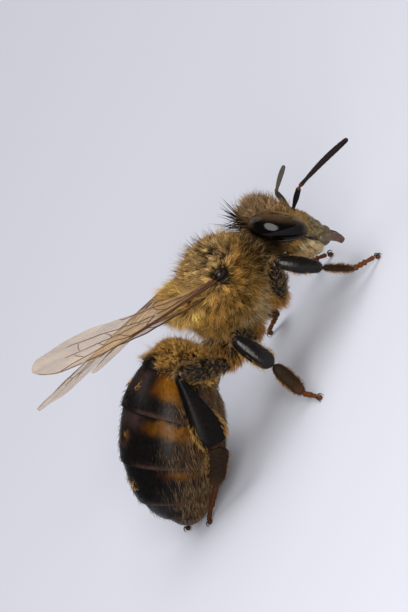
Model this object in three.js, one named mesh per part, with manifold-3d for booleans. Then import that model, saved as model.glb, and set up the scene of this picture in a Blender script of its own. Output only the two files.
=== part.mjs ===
// A worker honey bee at life size, standing on six feet with its abdomen curled down behind it.
// Millimetres, +Z up. The bee faces +X, its right side is -Y, and its feet stand on z = 0.
// Each body region is a smooth union of ellipsoids that includes the depth of its hair coat.
import * as THREE from "three";
import { mergeVertices } from "three/addons/utils/BufferGeometryUtils.js";
import Module from "manifold-3d";

const wasm = await Module();
wasm.setup();

// ---------------------------------------------------------------- driving dimensions
const MODEL_CENTRE = [1.6, -0.33]; // x and y of the middle of the bounding box, moved to the origin
const GAP = 0.05; // clearance between neighbouring pieces
const THINNEST = 0.5; // least thickness of a wing, leg or feeler
const SIMPLEST = 0.02; // facets finer than this are merged
const BLEND = 0.35; // how softly ellipsoids run into each other

const HEAD_CENTRE = [5.75, 0, 3.64];
const HEAD_PITCH = 14.5; // degrees, mouth swung forward
const HEAD_ROLL = 8; // degrees, left eye lower than the right
const EYE_LENGTH = 2.36;
const EYE_CLOSING = 8; // degrees that the eyes close in towards the crown
const EYE_LEAN = 10; // degrees that the eyes lean back at the crown
const EYE_WIDTH = 1.14;
const EYE_DEPTH = 1.0;
const HEAD_COAT = 0.16;

const THORAX_COAT = 0.42;
const ABDOMEN_CENTRE = [-3.7, 0, 2.98];
const ABDOMEN_PITCH = 31.5; // degrees that its tail hangs below its waist
const ABDOMEN_LENGTH = 6.8;
const ABDOMEN_WIDTH = 4.1;
const ABDOMEN_HEIGHT = 4.16;
const ABDOMEN_COAT = 0.12;
const TERGITE_CUTS = [ // where each ring of the abdomen ends: distance behind the centre, lean in degrees
  [-2.6, 18],
  [-0.85, 13],
  [1.0, 2],
  [2.45, -2],
  [3.1, -4],
];

const TEGULA = [2.86, 1.72, 5.2]; // left wing root
const FACETS = 6; // how finely the rounded bodies are divided
const FOREWING_LENGTH = 8.75;
const ROOF_SLOPE = { right: 11.5, left: 15 }; // degrees that each wing slopes down to its leading edge
const HINDWING_FOLD = { right: { turn: 19, drop: THINNEST + GAP }, left: { turn: 0, drop: 0 } };
const WING_AIM = { right: [-0.842, -0.208, 0.499], left: [-0.937, 0.258, 0.234] };
const WING_BEND = { right: 0.85, left: 0 }; // how far each wing's tip curves up out of its plane
const WING_TWIST = { right: [3, -6], left: [0, 0] }; // degrees at each wing's root and tip

// Each leg as its joints: hip, trochanter, knee, ankle, end of the long foot joint, toe.
const LEGS = {
  fore_right: [
    [3.5, -0.55, 3.3], [3.23, -0.95, 2.2], [4.4, -2.2, 3.75],
    [5.16, -2.6, 1.99], [5.74, -2.5, 0.8], [6.6, -2.35, 0.2],
  ],
  mid_right: [
    [2.1, -0.65, 3.1], [1.45, -1.15, 2.5], [0.93, -2.7, 3.85],
    [0.83, -3.2, 1.96], [0.45, -3.6, 0.4], [0.62, -4.5, 0.2],
  ],
  hind_right: [
    [0.9, -0.6, 3.15], [0.04, -1.2, 2.8], [-1.44, -2.4, 5.0],
    [-3.09, -3.0, 2.19], [-4.46, -2.1, 1.1], [-5.85, -0.95, 0.2],
  ],
  fore_left: [
    [3.5, 0.55, 3.3], [3.3, 0.95, 2.3], [4.1, 2.2, 3.7],
    [4.75, 2.7, 1.9], [5.1, 2.6, 0.75], [5.8, 2.42, 0.2],
  ],
  mid_left: [
    [2.1, 0.65, 3.1], [1.6, 1.15, 2.5], [1.75, 2.6, 3.6],
    [2.3, 3.05, 1.75], [2.75, 3.35, 0.45], [1.95, 3.85, 0.2],
  ],
  hind_left: [
    [0.9, 0.6, 3.15], [0.04, 1.2, 2.8], [-1.3, 2.6, 4.3],
    [-3.3, 2.95, 2.2], [-4.95, 2.1, 1.1], [-6.55, 0.9, 0.2],
  ],
};
// Width and thickness of each leg joint, by pair of legs.
const LEG_GIRTH = {
  fore: {
    coxa: [0.75, 0.7],
    femur: [0.72, 0.6],
    tibia: [0.66, 0.56],
    basitarsus: [0.5, 0.5],
    foot: [0.5, 0.5],
  },
  mid: {
    coxa: [0.8, 0.75],
    femur: [0.74, 0.6],
    tibia: [0.78, 0.6],
    basitarsus: [0.74, 0.5],
    foot: [0.5, 0.5],
  },
  hind: {
    coxa: [0.85, 0.8],
    femur: [0.86, 0.62],
    tibia: [1.3, 0.56],
    basitarsus: [1.1, 0.5],
    foot: [0.5, 0.5],
  },
};
const TOE_PAD = [0.36, 0.3, 0.26]; // half sizes of the claws and pad that stand on the floor

const ANTENNAE = {
  right: { socket: [6.55, -0.37, 3.48], elbow: [7.48, -1.0, 3.98], tip: [10.13, -1.3, 3.33] },
  left: { socket: [6.58, 0.26, 3.4], elbow: [6.9, 1.4, 3.84], tip: [8.02, 3.9, 3.2] },
};

// ---------------------------------------------------------------- materials
const finish = (color, roughness) => new THREE.MeshStandardMaterial({ color, roughness, metalness: 0 });
const COAT = finish(0x9c7a42, 0.9);
const HEAD_COAT_FINISH = finish(0x6e5a38, 0.85);
const BLACK_CUTICLE = finish(0x17130f, 0.3);
const BROWN_CUTICLE = finish(0x4a2f1c, 0.45);
const RUSTY_FOOT = finish(0x8a4520, 0.45);
const BANDED = finish(0x3a2716, 0.5);
const EYE = finish(0x120d0a, 0.15);
const MEMBRANE = finish(0xc9b391, 0.25);
const AMBER = finish(0x9a6a35, 0.45);

// ---------------------------------------------------------------- solids
const radians = THREE.MathUtils.degToRad;
const point = (p) => new THREE.Vector3(...p);

// A closed geometry as a manifold-3d solid.
function solid(geometry) {
  const bare = geometry.clone();
  bare.deleteAttribute("normal");
  bare.deleteAttribute("uv");
  const merged = mergeVertices(bare, 1e-4);
  return new wasm.Manifold(
    new wasm.Mesh({
      numProp: 3,
      vertProperties: new Float32Array(merged.attributes.position.array),
      triVerts: new Uint32Array(merged.index.array),
    }),
  );
}

function geometryOf(made) {
  const { vertProperties, triVerts } = made.getMesh();
  const geometry = new THREE.BufferGeometry();
  geometry.setAttribute("position", new THREE.BufferAttribute(vertProperties, 3));
  geometry.setIndex(new THREE.BufferAttribute(triVerts, 1));
  geometry.computeVertexNormals();
  return geometry;
}

// What is left of a solid once others are cut away, without its loose slivers.
function trim(made, ...cutters) {
  const left = cutters.reduce((rest, cutter) => rest.subtract(cutter), made);
  return left.decompose().reduce((a, b) => (a.volume() > b.volume() ? a : b));
}

// ---------------------------------------------------------------- rounded bodies
const UP_DOWN = new THREE.Vector3(0, 1, 0); // pitch turns about Y, and lifts the +X end when positive
const SIDEWAYS = new THREE.Vector3(1, 0, 0); // roll turns about X, and lowers the +Y side when positive
function posed(p, pitch, roll) {
  return p.applyAxisAngle(SIDEWAYS, -radians(roll)).applyAxisAngle(UP_DOWN, -radians(pitch));
}
function unposed(p, pitch, roll) {
  return p.applyAxisAngle(UP_DOWN, radians(pitch)).applyAxisAngle(SIDEWAYS, radians(roll));
}
const ellipsoid = (centre, radii, pitch = 0, roll = 0) => ({
  centre: point(centre),
  radii: point(radii),
  pitch,
  roll,
});

// How far a point lies outside an ellipsoid, closely enough for blending.
function distanceTo(part, p) {
  const q = unposed(p.clone().sub(part.centre), part.pitch, part.roll);
  const near = q.clone().divide(part.radii);
  const steep = near.clone().divide(part.radii).length();
  const share = near.length();
  return steep < 1e-9 ? -Math.min(...part.radii.toArray()) : (share * (share - 1)) / steep;
}

function softMinimum(a, b) {
  const share = Math.max(BLEND - Math.abs(a - b), 0) / BLEND;
  return Math.min(a, b) - share * share * BLEND * 0.25;
}

// A closed skin round a set of ellipsoids, standing coat outside them, found along rays from its heart.
function body(parts, heart, coat) {
  const reach = 12;
  const step = 0.25;
  const outside = (p) => parts.map((part) => distanceTo(part, p)).reduce(softMinimum) - coat;
  const geometry = mergeVertices(stripped(new THREE.IcosahedronGeometry(1, FACETS)), 1e-4);
  const spots = geometry.attributes.position;
  const centre = point(heart);
  for (let i = 0; i < spots.count; i++) {
    const ray = new THREE.Vector3().fromBufferAttribute(spots, i).normalize();
    let far = reach;
    while (far > step && outside(centre.clone().addScaledVector(ray, far - step)) > 0) far -= step;
    let near = far - step;
    for (let halving = 0; halving < 14; halving++) {
      const middle = (near + far) / 2;
      if (outside(centre.clone().addScaledVector(ray, middle)) > 0) far = middle;
      else near = middle;
    }
    const skin = centre.clone().addScaledVector(ray, near);
    spots.setXYZ(i, skin.x, skin.y, skin.z);
  }
  return solid(geometry);
}

function stripped(geometry) {
  geometry.deleteAttribute("normal");
  geometry.deleteAttribute("uv");
  return geometry;
}

// A point given in the head's own axes: forward from the face, to the left, and up to the crown.
function inHead(place) {
  return posed(point(place), HEAD_PITCH, HEAD_ROLL).add(point(HEAD_CENTRE)).toArray();
}
const headPart = (centre, radii) => ellipsoid(inHead(centre), radii, HEAD_PITCH, HEAD_ROLL);

const HEAD_PARTS = [
  headPart([-0.12, 0, 0], [0.68, 1.6, 1.2]), // capsule
  headPart([0.14, 0, -0.2], [0.56, 1.05, 1.2]), // face
  headPart([0.22, 0, -1.1], [0.44, 0.78, 0.82]), // clypeus
  headPart([-0.2, 0, -0.9], [0.6, 1.1, 0.92]), // cheeks
  headPart([0.05, 0, 0.88], [0.5, 1.0, 0.45]), // crown with its tuft
];
const THORAX_PARTS = [
  ellipsoid([2.75, 0, 4.75], [1.5, 1.6, 1.13]), // scutum
  ellipsoid([2.45, 0, 4.1], [1.5, 1.68, 1.15]), // pleura
  ellipsoid([1.25, 0, 5.35], [0.55, 1.0, 0.5]), // scutellum
  ellipsoid([1.2, 0, 4.15], [0.72, 1.35, 1.2]), // propodeum
  ellipsoid([3.85, 0, 4.05], [0.52, 1.0, 0.8]), // pronotum
  ellipsoid([2.4, 0, 3.35], [1.35, 0.95, 0.55]), // sternum
];

// A point behind the abdomen's centre by along, and above its axis by over.
function inAbdomen(along, over) {
  const turned = new THREE.Vector3(-along, 0, over).applyAxisAngle(UP_DOWN, -radians(ABDOMEN_PITCH));
  return turned.add(point(ABDOMEN_CENTRE)).toArray();
}
const ABDOMEN_PARTS = [
  ellipsoid(inAbdomen(-0.15, 0), [ABDOMEN_LENGTH / 2, ABDOMEN_WIDTH / 2, ABDOMEN_HEIGHT / 2], ABDOMEN_PITCH),
  ellipsoid([-0.85, 0, 3.85], [0.72, 1.3, 1.35]), // first ring
  ellipsoid([-0.35, 0, 3.2], [0.42, 0.5, 0.5]), // root at the waist
  ellipsoid(inAbdomen(2.4, -0.6), [1.25, 1.05, 1.0], ABDOMEN_PITCH), // tail end
];

// ---------------------------------------------------------------- legs and feelers
// A rounded bar between two points, as wide and thick as told.
// It is fullest where told: 0 is its first end and 1 its second.
// spare makes it larger all round, for the room it takes from its neighbours.
function bar(from, to, [width, thickness], shape = {}) {
  const { fullest = 0.5, ends = 0.7, face = [0, 1, 0], spare = 0 } = shape;
  const [sides, rings] = [8, 6];
  const [start, end] = [point(from), point(to)];
  const length = start.distanceTo(end) - GAP + 2 * spare;
  const profile = [];
  for (let i = 0; i <= rings; i++) {
    const along = (1 - Math.cos((Math.PI * i) / rings)) / 2;
    const cap = Math.sqrt(Math.max(1 - Math.abs(2 * along - 1) ** 5, 0));
    const swell = ends + (1 - ends) * Math.exp(-(((along - fullest) / 0.32) ** 2));
    profile.push(new THREE.Vector2(i === 0 || i === rings ? 0 : cap * swell, (along - 0.5) * length));
  }
  const round = new THREE.LatheGeometry(profile, sides).scale(width / 2 + spare, 1, thickness / 2 + spare);
  const along = end.clone().sub(start).normalize();
  const flat = point(face).addScaledVector(along, -point(face).dot(along)).normalize();
  const across = new THREE.Vector3().crossVectors(along, flat);
  const middle = start.add(end).multiplyScalar(0.5);
  return solid(round.applyMatrix4(new THREE.Matrix4().makeBasis(across, along, flat).setPosition(middle)));
}

// A toe: a bar down to the floor, with a pad cut flat where it stands.
function foot(from, toe, girth) {
  const floor = solid(new THREE.BoxGeometry(40, 40, 2).translate(0, 0, -1));
  const pad = solid(new THREE.SphereGeometry(1, 10, 6).scale(...TOE_PAD).translate(toe[0], toe[1], toe[2]));
  return trim(bar(from, toe, girth, { ends: 0.95 }).add(pad), floor);
}

// ---------------------------------------------------------------- wings
// Outlines in the wing's own plane: x out along the wing, y towards its leading edge.
function forewingOutline() {
  const wing = new THREE.Shape();
  const tip = FOREWING_LENGTH;
  wing.moveTo(0.35, 0.12);
  wing.bezierCurveTo(0.3 * tip, 0.22, 0.55 * tip, 0.42, 0.78 * tip, 0.42);
  wing.bezierCurveTo(0.92 * tip, 0.36, tip, -0.1, tip, -0.62);
  wing.bezierCurveTo(tip, -1.5, 0.84 * tip, -2.5, 0.66 * tip, -2.55);
  wing.bezierCurveTo(0.54 * tip, -2.5, 0.5 * tip, -2.2, 0.46 * tip, -2.05);
  wing.bezierCurveTo(0.3 * tip, -1.35, 0.15 * tip, -0.55, 0.35, -0.4);
  wing.closePath();
  return wing;
}

function hindwingOutline() {
  const wing = new THREE.Shape();
  const reach = FOREWING_LENGTH;
  wing.moveTo(0.55, -0.62);
  wing.bezierCurveTo(0.15 * reach, -0.75, 0.3 * reach, -1.52, 0.45 * reach, -2.17);
  wing.bezierCurveTo(0.5 * reach, -2.35, 0.54 * reach, -2.62, 0.64 * reach, -2.68);
  wing.bezierCurveTo(0.68 * reach, -3.1, 0.6 * reach, -3.4, 0.48 * reach, -3.4);
  wing.bezierCurveTo(0.3 * reach, -3.35, 0.2 * reach, -2.5, 0.55, -1.1);
  wing.closePath();
  return wing;
}

// Puts a wing's plane at its root: out along its aim, sloping down to its leading edge.
function wingFrame(side) {
  const left = side === "left" ? 1 : -1;
  const out = point(WING_AIM[side]).normalize();
  const level = new THREE.Vector3(-out.y * -left, out.x * -left, 0).normalize();
  const upright = new THREE.Vector3(0, 0, 1).addScaledVector(out, -out.z).normalize();
  const slope = radians(ROOF_SLOPE[side]);
  const lead = level.multiplyScalar(Math.cos(slope)).addScaledVector(upright, -Math.sin(slope));
  const normal = new THREE.Vector3().crossVectors(out, lead);
  const root = [TEGULA[0], TEGULA[1] * left, TEGULA[2]];
  return new THREE.Matrix4().makeBasis(out, lead, normal).setPosition(...root);
}

// A wing of one outline, twisted along its length, its tip bent up out of its plane.
// turn swings the outline about its root towards the leading edge, and drop lowers it under the other wing.
function wing(outline, side, turn = 0, drop = 0) {
  const thick = { depth: THINNEST, bevelEnabled: false, curveSegments: 5 };
  const sheet = new THREE.ExtrudeGeometry(outline, thick);
  sheet.translate(0, 0, -THINNEST / 2).rotateZ(radians(turn));
  const up = side === "left" ? -1 : 1;
  const curved = solid(sheet.translate(0, 0, -drop * up))
    .refineToLength(1.1)
    .warp((corner) => {
      const share = corner[0] / FOREWING_LENGTH;
      const [atRoot, atTip] = WING_TWIST[side];
      const twist = radians(atRoot + (atTip - atRoot) * share);
      corner[2] += up * (WING_BEND[side] * share ** 2 + corner[1] * Math.sin(twist));
      corner[1] *= Math.cos(twist);
    });
  return curved.transform(wingFrame(side).elements);
}

// ---------------------------------------------------------------- assembly
const bee = new THREE.Group();
bee.position.set(-MODEL_CENTRE[0], -MODEL_CENTRE[1], 0);

function add(name, made, material) {
  const mesh = new THREE.Mesh(geometryOf(made.simplify(SIMPLEST)), material);
  mesh.name = name;
  bee.add(mesh);
}

const SIDES = { right: -1, left: 1 };
const THORAX_HEART = [2.4, 0, 4.4];
const HEAD_HEART = inHead([0, 0, -0.2]);
const thorax = body(THORAX_PARTS, THORAX_HEART, THORAX_COAT);
const thoraxSpace = body(THORAX_PARTS, THORAX_HEART, THORAX_COAT + GAP);
const abdomen = trim(body(ABDOMEN_PARTS, ABDOMEN_CENTRE, ABDOMEN_COAT), thoraxSpace);
const abdomenSpace = body(ABDOMEN_PARTS, ABDOMEN_CENTRE, ABDOMEN_COAT + GAP);
const headSpace = body(HEAD_PARTS, HEAD_HEART, HEAD_COAT + GAP);

function eye(side, spare) {
  const globe = new THREE.SphereGeometry(1, 14, 10).rotateX(Math.PI / 2);
  globe.scale(EYE_WIDTH / 2 + spare, EYE_DEPTH / 2 + spare, EYE_LENGTH / 2 + spare);
  globe.rotateX(radians(EYE_CLOSING) * SIDES[side]);
  globe.rotateY(-radians(EYE_LEAN)).rotateX(-radians(HEAD_ROLL)).rotateY(-radians(HEAD_PITCH));
  return solid(globe.translate(...inHead([0.02, SIDES[side] * 1.42, 0.22])));
}

function addHead() {
  const sockets = Object.keys(SIDES).map((side) => eye(side, GAP));
  const head = trim(body(HEAD_PARTS, HEAD_HEART, HEAD_COAT), ...sockets, thoraxSpace);
  add("head", head, HEAD_COAT_FINISH);
  for (const side of Object.keys(SIDES)) {
    const out = SIDES[side];
    add(`eye_${side}`, eye(side, 0), EYE);
    const hinge = inHead([0.02, out * 0.78, -1.6]);
    const bite = inHead([0.12, out * 0.2, -2.78]);
    const jaw = bar(hinge, bite, [0.6, 0.5], { fullest: 0.25, face: [1, 0, 0.3] });
    const middle = new THREE.BoxGeometry(20, 20, 20).translate(0, -out * (10 - GAP), 0);
    middle.rotateX(-radians(HEAD_ROLL)).rotateY(-radians(HEAD_PITCH)).translate(...HEAD_CENTRE);
    add(`mandible_${side}`, trim(jaw, headSpace, solid(middle)), BROWN_CUTICLE);
  }
  const [near, far] = [inHead([-0.45, 0, -2.0]), inHead([-1.05, 0, -0.7])];
  const tongue = bar(near, far, [0.9, 0.55], { face: [1, 0, 0] });
  add("proboscis", trim(tongue, headSpace, thoraxSpace), AMBER);
}

function addAntennae() {
  for (const side of Object.keys(SIDES)) {
    const { socket, elbow, tip } = ANTENNAE[side];
    const girth = [THINNEST, THINNEST];
    const flagellum = bar(elbow, tip, girth, { ends: 0.98 });
    const scape = bar(socket, elbow, girth, { ends: 0.95 });
    add(`antenna_${side}_scape`, trim(scape, headSpace), BLACK_CUTICLE);
    add(`antenna_${side}_flagellum`, flagellum, BLACK_CUTICLE);
  }
}

function addTrunk() {
  add("thorax", thorax, COAT);
  const waist = bar([0.9, 0, 3.3], [-0.5, 0, 3.2], [0.7, 0.7], { ends: 1 });
  add("waist", trim(waist, thoraxSpace, abdomenSpace), BLACK_CUTICLE);
}

// The part of the abdomen behind a cut, as a half space.
function behind([along, lean], spare) {
  const block = new THREE.BoxGeometry(20, 20, 20).translate(-10 - spare, 0, 0);
  block.rotateY(-radians(ABDOMEN_PITCH - lean));
  return solid(block.translate(...inAbdomen(along, 0)));
}

function addAbdomen() {
  let rest = abdomen;
  TERGITE_CUTS.forEach((cut, i) => {
    add(`abdomen_${i + 1}`, trim(rest, behind(cut, 0)), BANDED);
    rest = trim(rest.intersect(behind(cut, GAP)));
  });
  add(`abdomen_${TERGITE_CUTS.length + 1}`, rest, BANDED);
}

function addWings() {
  for (const side of Object.keys(SIDES)) {
    const [x, y, z] = TEGULA;
    const knob = (spare) => {
      const scale = new THREE.SphereGeometry(1, 12, 8).scale(0.42 + spare, 0.34 + spare, 0.34 + spare);
      return solid(scale.translate(x + 0.02, SIDES[side] * (y + 0.17), z + 0.05));
    };
    add(`tegula_${side}`, trim(knob(0), thoraxSpace), BLACK_CUTICLE);
    add(`wing_fore_${side}`, trim(wing(forewingOutline(), side), thoraxSpace, knob(GAP)), MEMBRANE);
    const { turn, drop } = HINDWING_FOLD[side];
    const hindwing = wing(hindwingOutline(), side, turn, drop);
    add(`wing_hind_${side}`, trim(hindwing, thoraxSpace, knob(GAP)), MEMBRANE);
  }
}

function addLegs() {
  for (const [leg, [hip, trochanter, knee, ankle, instep, toe]] of Object.entries(LEGS)) {
    const [pair, side] = leg.split("_");
    const girth = LEG_GIRTH[pair];
    const face = [0.1, SIDES[side], 0.15];
    const spaces = [thoraxSpace, abdomenSpace, headSpace];
    const flare = pair === "hind" ? { fullest: 0.12, ends: 0.5 } : { fullest: 0.4, ends: 0.75 };
    const coxa = (spare) => bar(hip, trochanter, girth.coxa, { fullest: 0.3, ends: 0.8, face, spare });
    const tibia = (spare) => bar(ankle, knee, girth.tibia, { ...flare, face, spare });
    const femur = bar(trochanter, knee, girth.femur, { fullest: 0.55, face });
    const long = (spare) => bar(ankle, instep, girth.basitarsus, { fullest: 0.3, ends: 0.85, face, spare });
    add(`leg_${leg}_coxa`, trim(coxa(0), ...spaces), COAT);
    add(`leg_${leg}_femur`, trim(femur, ...spaces, coxa(GAP), tibia(GAP)), BLACK_CUTICLE);
    add(`leg_${leg}_tibia`, trim(tibia(0), ...spaces), BLACK_CUTICLE);
    add(`leg_${leg}_basitarsus`, trim(long(0), ...spaces, tibia(GAP)), BROWN_CUTICLE);
    add(`leg_${leg}_foot`, trim(foot(instep, toe, girth.foot), ...spaces, long(GAP)), RUSTY_FOOT);
  }
}

addHead();
addAntennae();
addTrunk();
addAbdomen();
addWings();
addLegs();

export default bee;
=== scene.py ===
# The looks of a worker honey bee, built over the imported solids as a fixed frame.
# Shapes are worked out in millimetres, with the bee facing +X and its right side at -Y,
# and become metres in the frame of the solids when their meshes are made.
import math

import bmesh
import bpy
import numpy as np
from mathutils import Matrix, Vector
from mathutils.kdtree import KDTree


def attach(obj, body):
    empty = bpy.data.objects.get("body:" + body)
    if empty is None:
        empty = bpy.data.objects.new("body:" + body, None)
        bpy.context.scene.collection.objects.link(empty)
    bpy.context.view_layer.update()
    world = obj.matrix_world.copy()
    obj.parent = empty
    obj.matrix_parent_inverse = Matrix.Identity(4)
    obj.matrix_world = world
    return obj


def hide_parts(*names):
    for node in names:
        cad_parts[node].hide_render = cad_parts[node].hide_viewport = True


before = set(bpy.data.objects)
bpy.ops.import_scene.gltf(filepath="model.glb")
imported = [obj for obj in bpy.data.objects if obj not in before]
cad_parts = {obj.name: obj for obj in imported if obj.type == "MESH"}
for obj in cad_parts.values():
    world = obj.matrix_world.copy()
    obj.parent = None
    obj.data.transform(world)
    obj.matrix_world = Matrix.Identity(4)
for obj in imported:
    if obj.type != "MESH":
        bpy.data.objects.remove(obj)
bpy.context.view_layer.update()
SEED = 20

# ---------------------------------------------------------------- sizes shared with the solids
MODEL_CENTRE = np.array([1.6, -0.33, 0.0])
BLEND = 0.35  # how softly the rounded bodies melt into one another
HEAD_CENTRE = np.array([5.75, 0, 3.64])
HEAD_PITCH = 14.5  # degrees, and so are the other angles
HEAD_ROLL = 8
ABDOMEN_CENTRE = np.array([-3.7, 0, 2.98])
ABDOMEN_PITCH = 31.5
TEGULA = np.array([2.86, 1.72, 5.2])
FOREWING_LENGTH = 8.75
ROOF_SLOPE = {"right": 11.5, "left": 15}  # how steeply each wing slopes down to its leading edge
WING_AIM = {"right": (-0.842, -0.208, 0.499), "left": (-0.937, 0.258, 0.234)}
WING_BEND = {"right": 0.85, "left": 0.0}  # how far each wing's tip is bent up
WING_TWIST = {"right": (3, -6), "left": (0, 0)}  # at each wing's root and tip
SIDES = {"right": -1, "left": 1}  # the sign of y on each side


# ---------------------------------------------------------------- small vector tools
def unit(v):
    """Vectors made one long."""
    v = np.asarray(v, float)
    return v / np.maximum(np.linalg.norm(v, axis=-1, keepdims=True), 1e-12)


def turn_y(p, degrees):
    """Turns points about the Y axis, nose down when degrees is positive."""
    c, s = math.cos(math.radians(degrees)), math.sin(math.radians(degrees))
    p = np.asarray(p, float)
    return np.stack([p[..., 0] * c + p[..., 2] * s, p[..., 1], p[..., 2] * c - p[..., 0] * s], -1)


def turn_x(p, degrees):
    """Turns points about the X axis, left side down when degrees is positive."""
    c, s = math.cos(math.radians(degrees)), math.sin(math.radians(degrees))
    p = np.asarray(p, float)
    return np.stack([p[..., 0], p[..., 1] * c + p[..., 2] * s, p[..., 2] * c - p[..., 1] * s], -1)


def head_way(p):
    """A direction given as forward from the face, to the left, and up to the crown."""
    return turn_y(turn_x(p, HEAD_ROLL), -HEAD_PITCH)


def in_head(p):
    """A point given as forward from the face, to the left, and up to the crown."""
    return head_way(p) + HEAD_CENTRE


def head_axes(p):
    """The reverse of in_head: how far forward, left and up in the head a point is."""
    return turn_x(turn_y(np.asarray(p) - HEAD_CENTRE, HEAD_PITCH), -HEAD_ROLL)


def in_abdomen(along, over):
    """A point given as towards the tail and up from the middle of the abdomen."""
    return turn_y(np.array([-along, 0, over]), -ABDOMEN_PITCH) + ABDOMEN_CENTRE


def smooth(low, high, x):
    """0 up to low, 1 from high on, and a smooth rise between them. low may be the larger."""
    t = np.clip((np.asarray(x, float) - low) / (high - low), 0, 1)
    return t * t * (3 - 2 * t)


def mix(a, b, t):
    """Points or colours part of the way from a to b."""
    t = np.asarray(t, float)
    if t.ndim and t.shape[-1] != 1:
        t = t[..., None]
    return np.asarray(a, float) * (1 - t) + np.asarray(b, float) * t


def sided(forward, out, up, side):
    """A direction for each point, mirrored by its side. Each share is a number or one for each point."""
    return np.stack(np.broadcast_arrays(forward, out * side, up), -1)


def run_along(line):
    """How far each point of a line is from its start."""
    return np.concatenate([[0], np.cumsum(np.linalg.norm(np.diff(line, axis=0), axis=1))])


def waves(p, scale, seed):
    """A smooth random field from -1 to 1, made of a few crossing waves."""
    rng = np.random.default_rng(seed)
    total = np.zeros(np.shape(p)[:-1])
    for _ in range(6):
        way = unit(rng.normal(size=3)) / scale * rng.uniform(0.6, 1.7)
        total = total + np.sin(np.asarray(p) @ way * 2 * math.pi + rng.uniform(0, 6.28))
    return total / 6 * 1.6


# ---------------------------------------------------------------- rounded bodies
def ellipsoid(centre, radii, pitch=0.0, roll=0.0):
    return np.asarray(centre, float), np.asarray(radii, float), pitch, roll


def head_part(centre, radii):
    return ellipsoid(in_head(centre), radii, HEAD_PITCH, HEAD_ROLL)


HEAD_PARTS = [
    head_part((-0.12, 0, 0), (0.68, 1.6, 1.2)),
    head_part((0.14, 0, -0.2), (0.56, 1.05, 1.2)),
    head_part((0.22, 0, -1.1), (0.44, 0.78, 0.82)),
    head_part((-0.2, 0, -0.9), (0.6, 1.1, 0.92)),
    head_part((0.05, 0, 0.88), (0.5, 1.0, 0.42)),
]
THORAX_PARTS = [
    ellipsoid((2.75, 0, 4.75), (1.5, 1.6, 1.13)),
    ellipsoid((2.45, 0, 4.1), (1.5, 1.68, 1.15)),
    ellipsoid((1.25, 0, 5.35), (0.55, 1.0, 0.5)),
    ellipsoid((1.3, 0, 4.15), (0.64, 1.25, 1.15)),
    ellipsoid((3.85, 0, 4.05), (0.52, 1.0, 0.8)),
    ellipsoid((2.4, 0, 3.35), (1.35, 0.95, 0.55)),
]
ABDOMEN_PARTS = [
    ellipsoid(in_abdomen(-0.15, 0), (3.4, 2.05, 2.08), ABDOMEN_PITCH),
    ellipsoid((-0.85, 0, 3.85), (0.72, 1.3, 1.35)),
    ellipsoid((-0.35, 0, 3.2), (0.42, 0.5, 0.5)),
    ellipsoid(in_abdomen(2.4, -0.6), (1.25, 1.05, 1.0), ABDOMEN_PITCH),
]


def distance_to(part, p):
    """About how far points lie outside one ellipsoid."""
    centre, radii, pitch, roll = part
    q = turn_x(turn_y(p - centre, pitch), -roll)
    near = q / radii
    steep = np.linalg.norm(near / radii, axis=-1)
    share = np.linalg.norm(near, axis=-1)
    return np.where(steep < 1e-9, -radii.min(), share * (share - 1) / np.maximum(steep, 1e-9))


def outside(parts, p):
    """How far points lie outside a soft union of ellipsoids."""
    total = distance_to(parts[0], p)
    for part in parts[1:]:
        other = distance_to(part, p)
        share = np.maximum(BLEND - np.abs(total - other), 0) / BLEND
        total = np.minimum(total, other) - share * share * BLEND * 0.25
    return total


def skin_distance(parts, starts, ways, reach=4.6, step=0.2):
    """How far along each ray the skin is."""
    far = np.full(len(ways), reach)
    going = np.ones(len(ways), bool)
    while going.any():
        inner = outside(parts, starts[going] + ways[going] * (far[going] - step)[:, None]) <= 0
        index = np.flatnonzero(going)
        far[index[~inner]] -= step
        going[index[inner]] = False
        going &= far > step
    near = far - step
    for _ in range(16):
        middle = (near + far) / 2
        out = outside(parts, starts + ways * middle[:, None]) > 0
        far = np.where(out, middle, far)
        near = np.where(out, near, middle)
    return near


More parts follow.
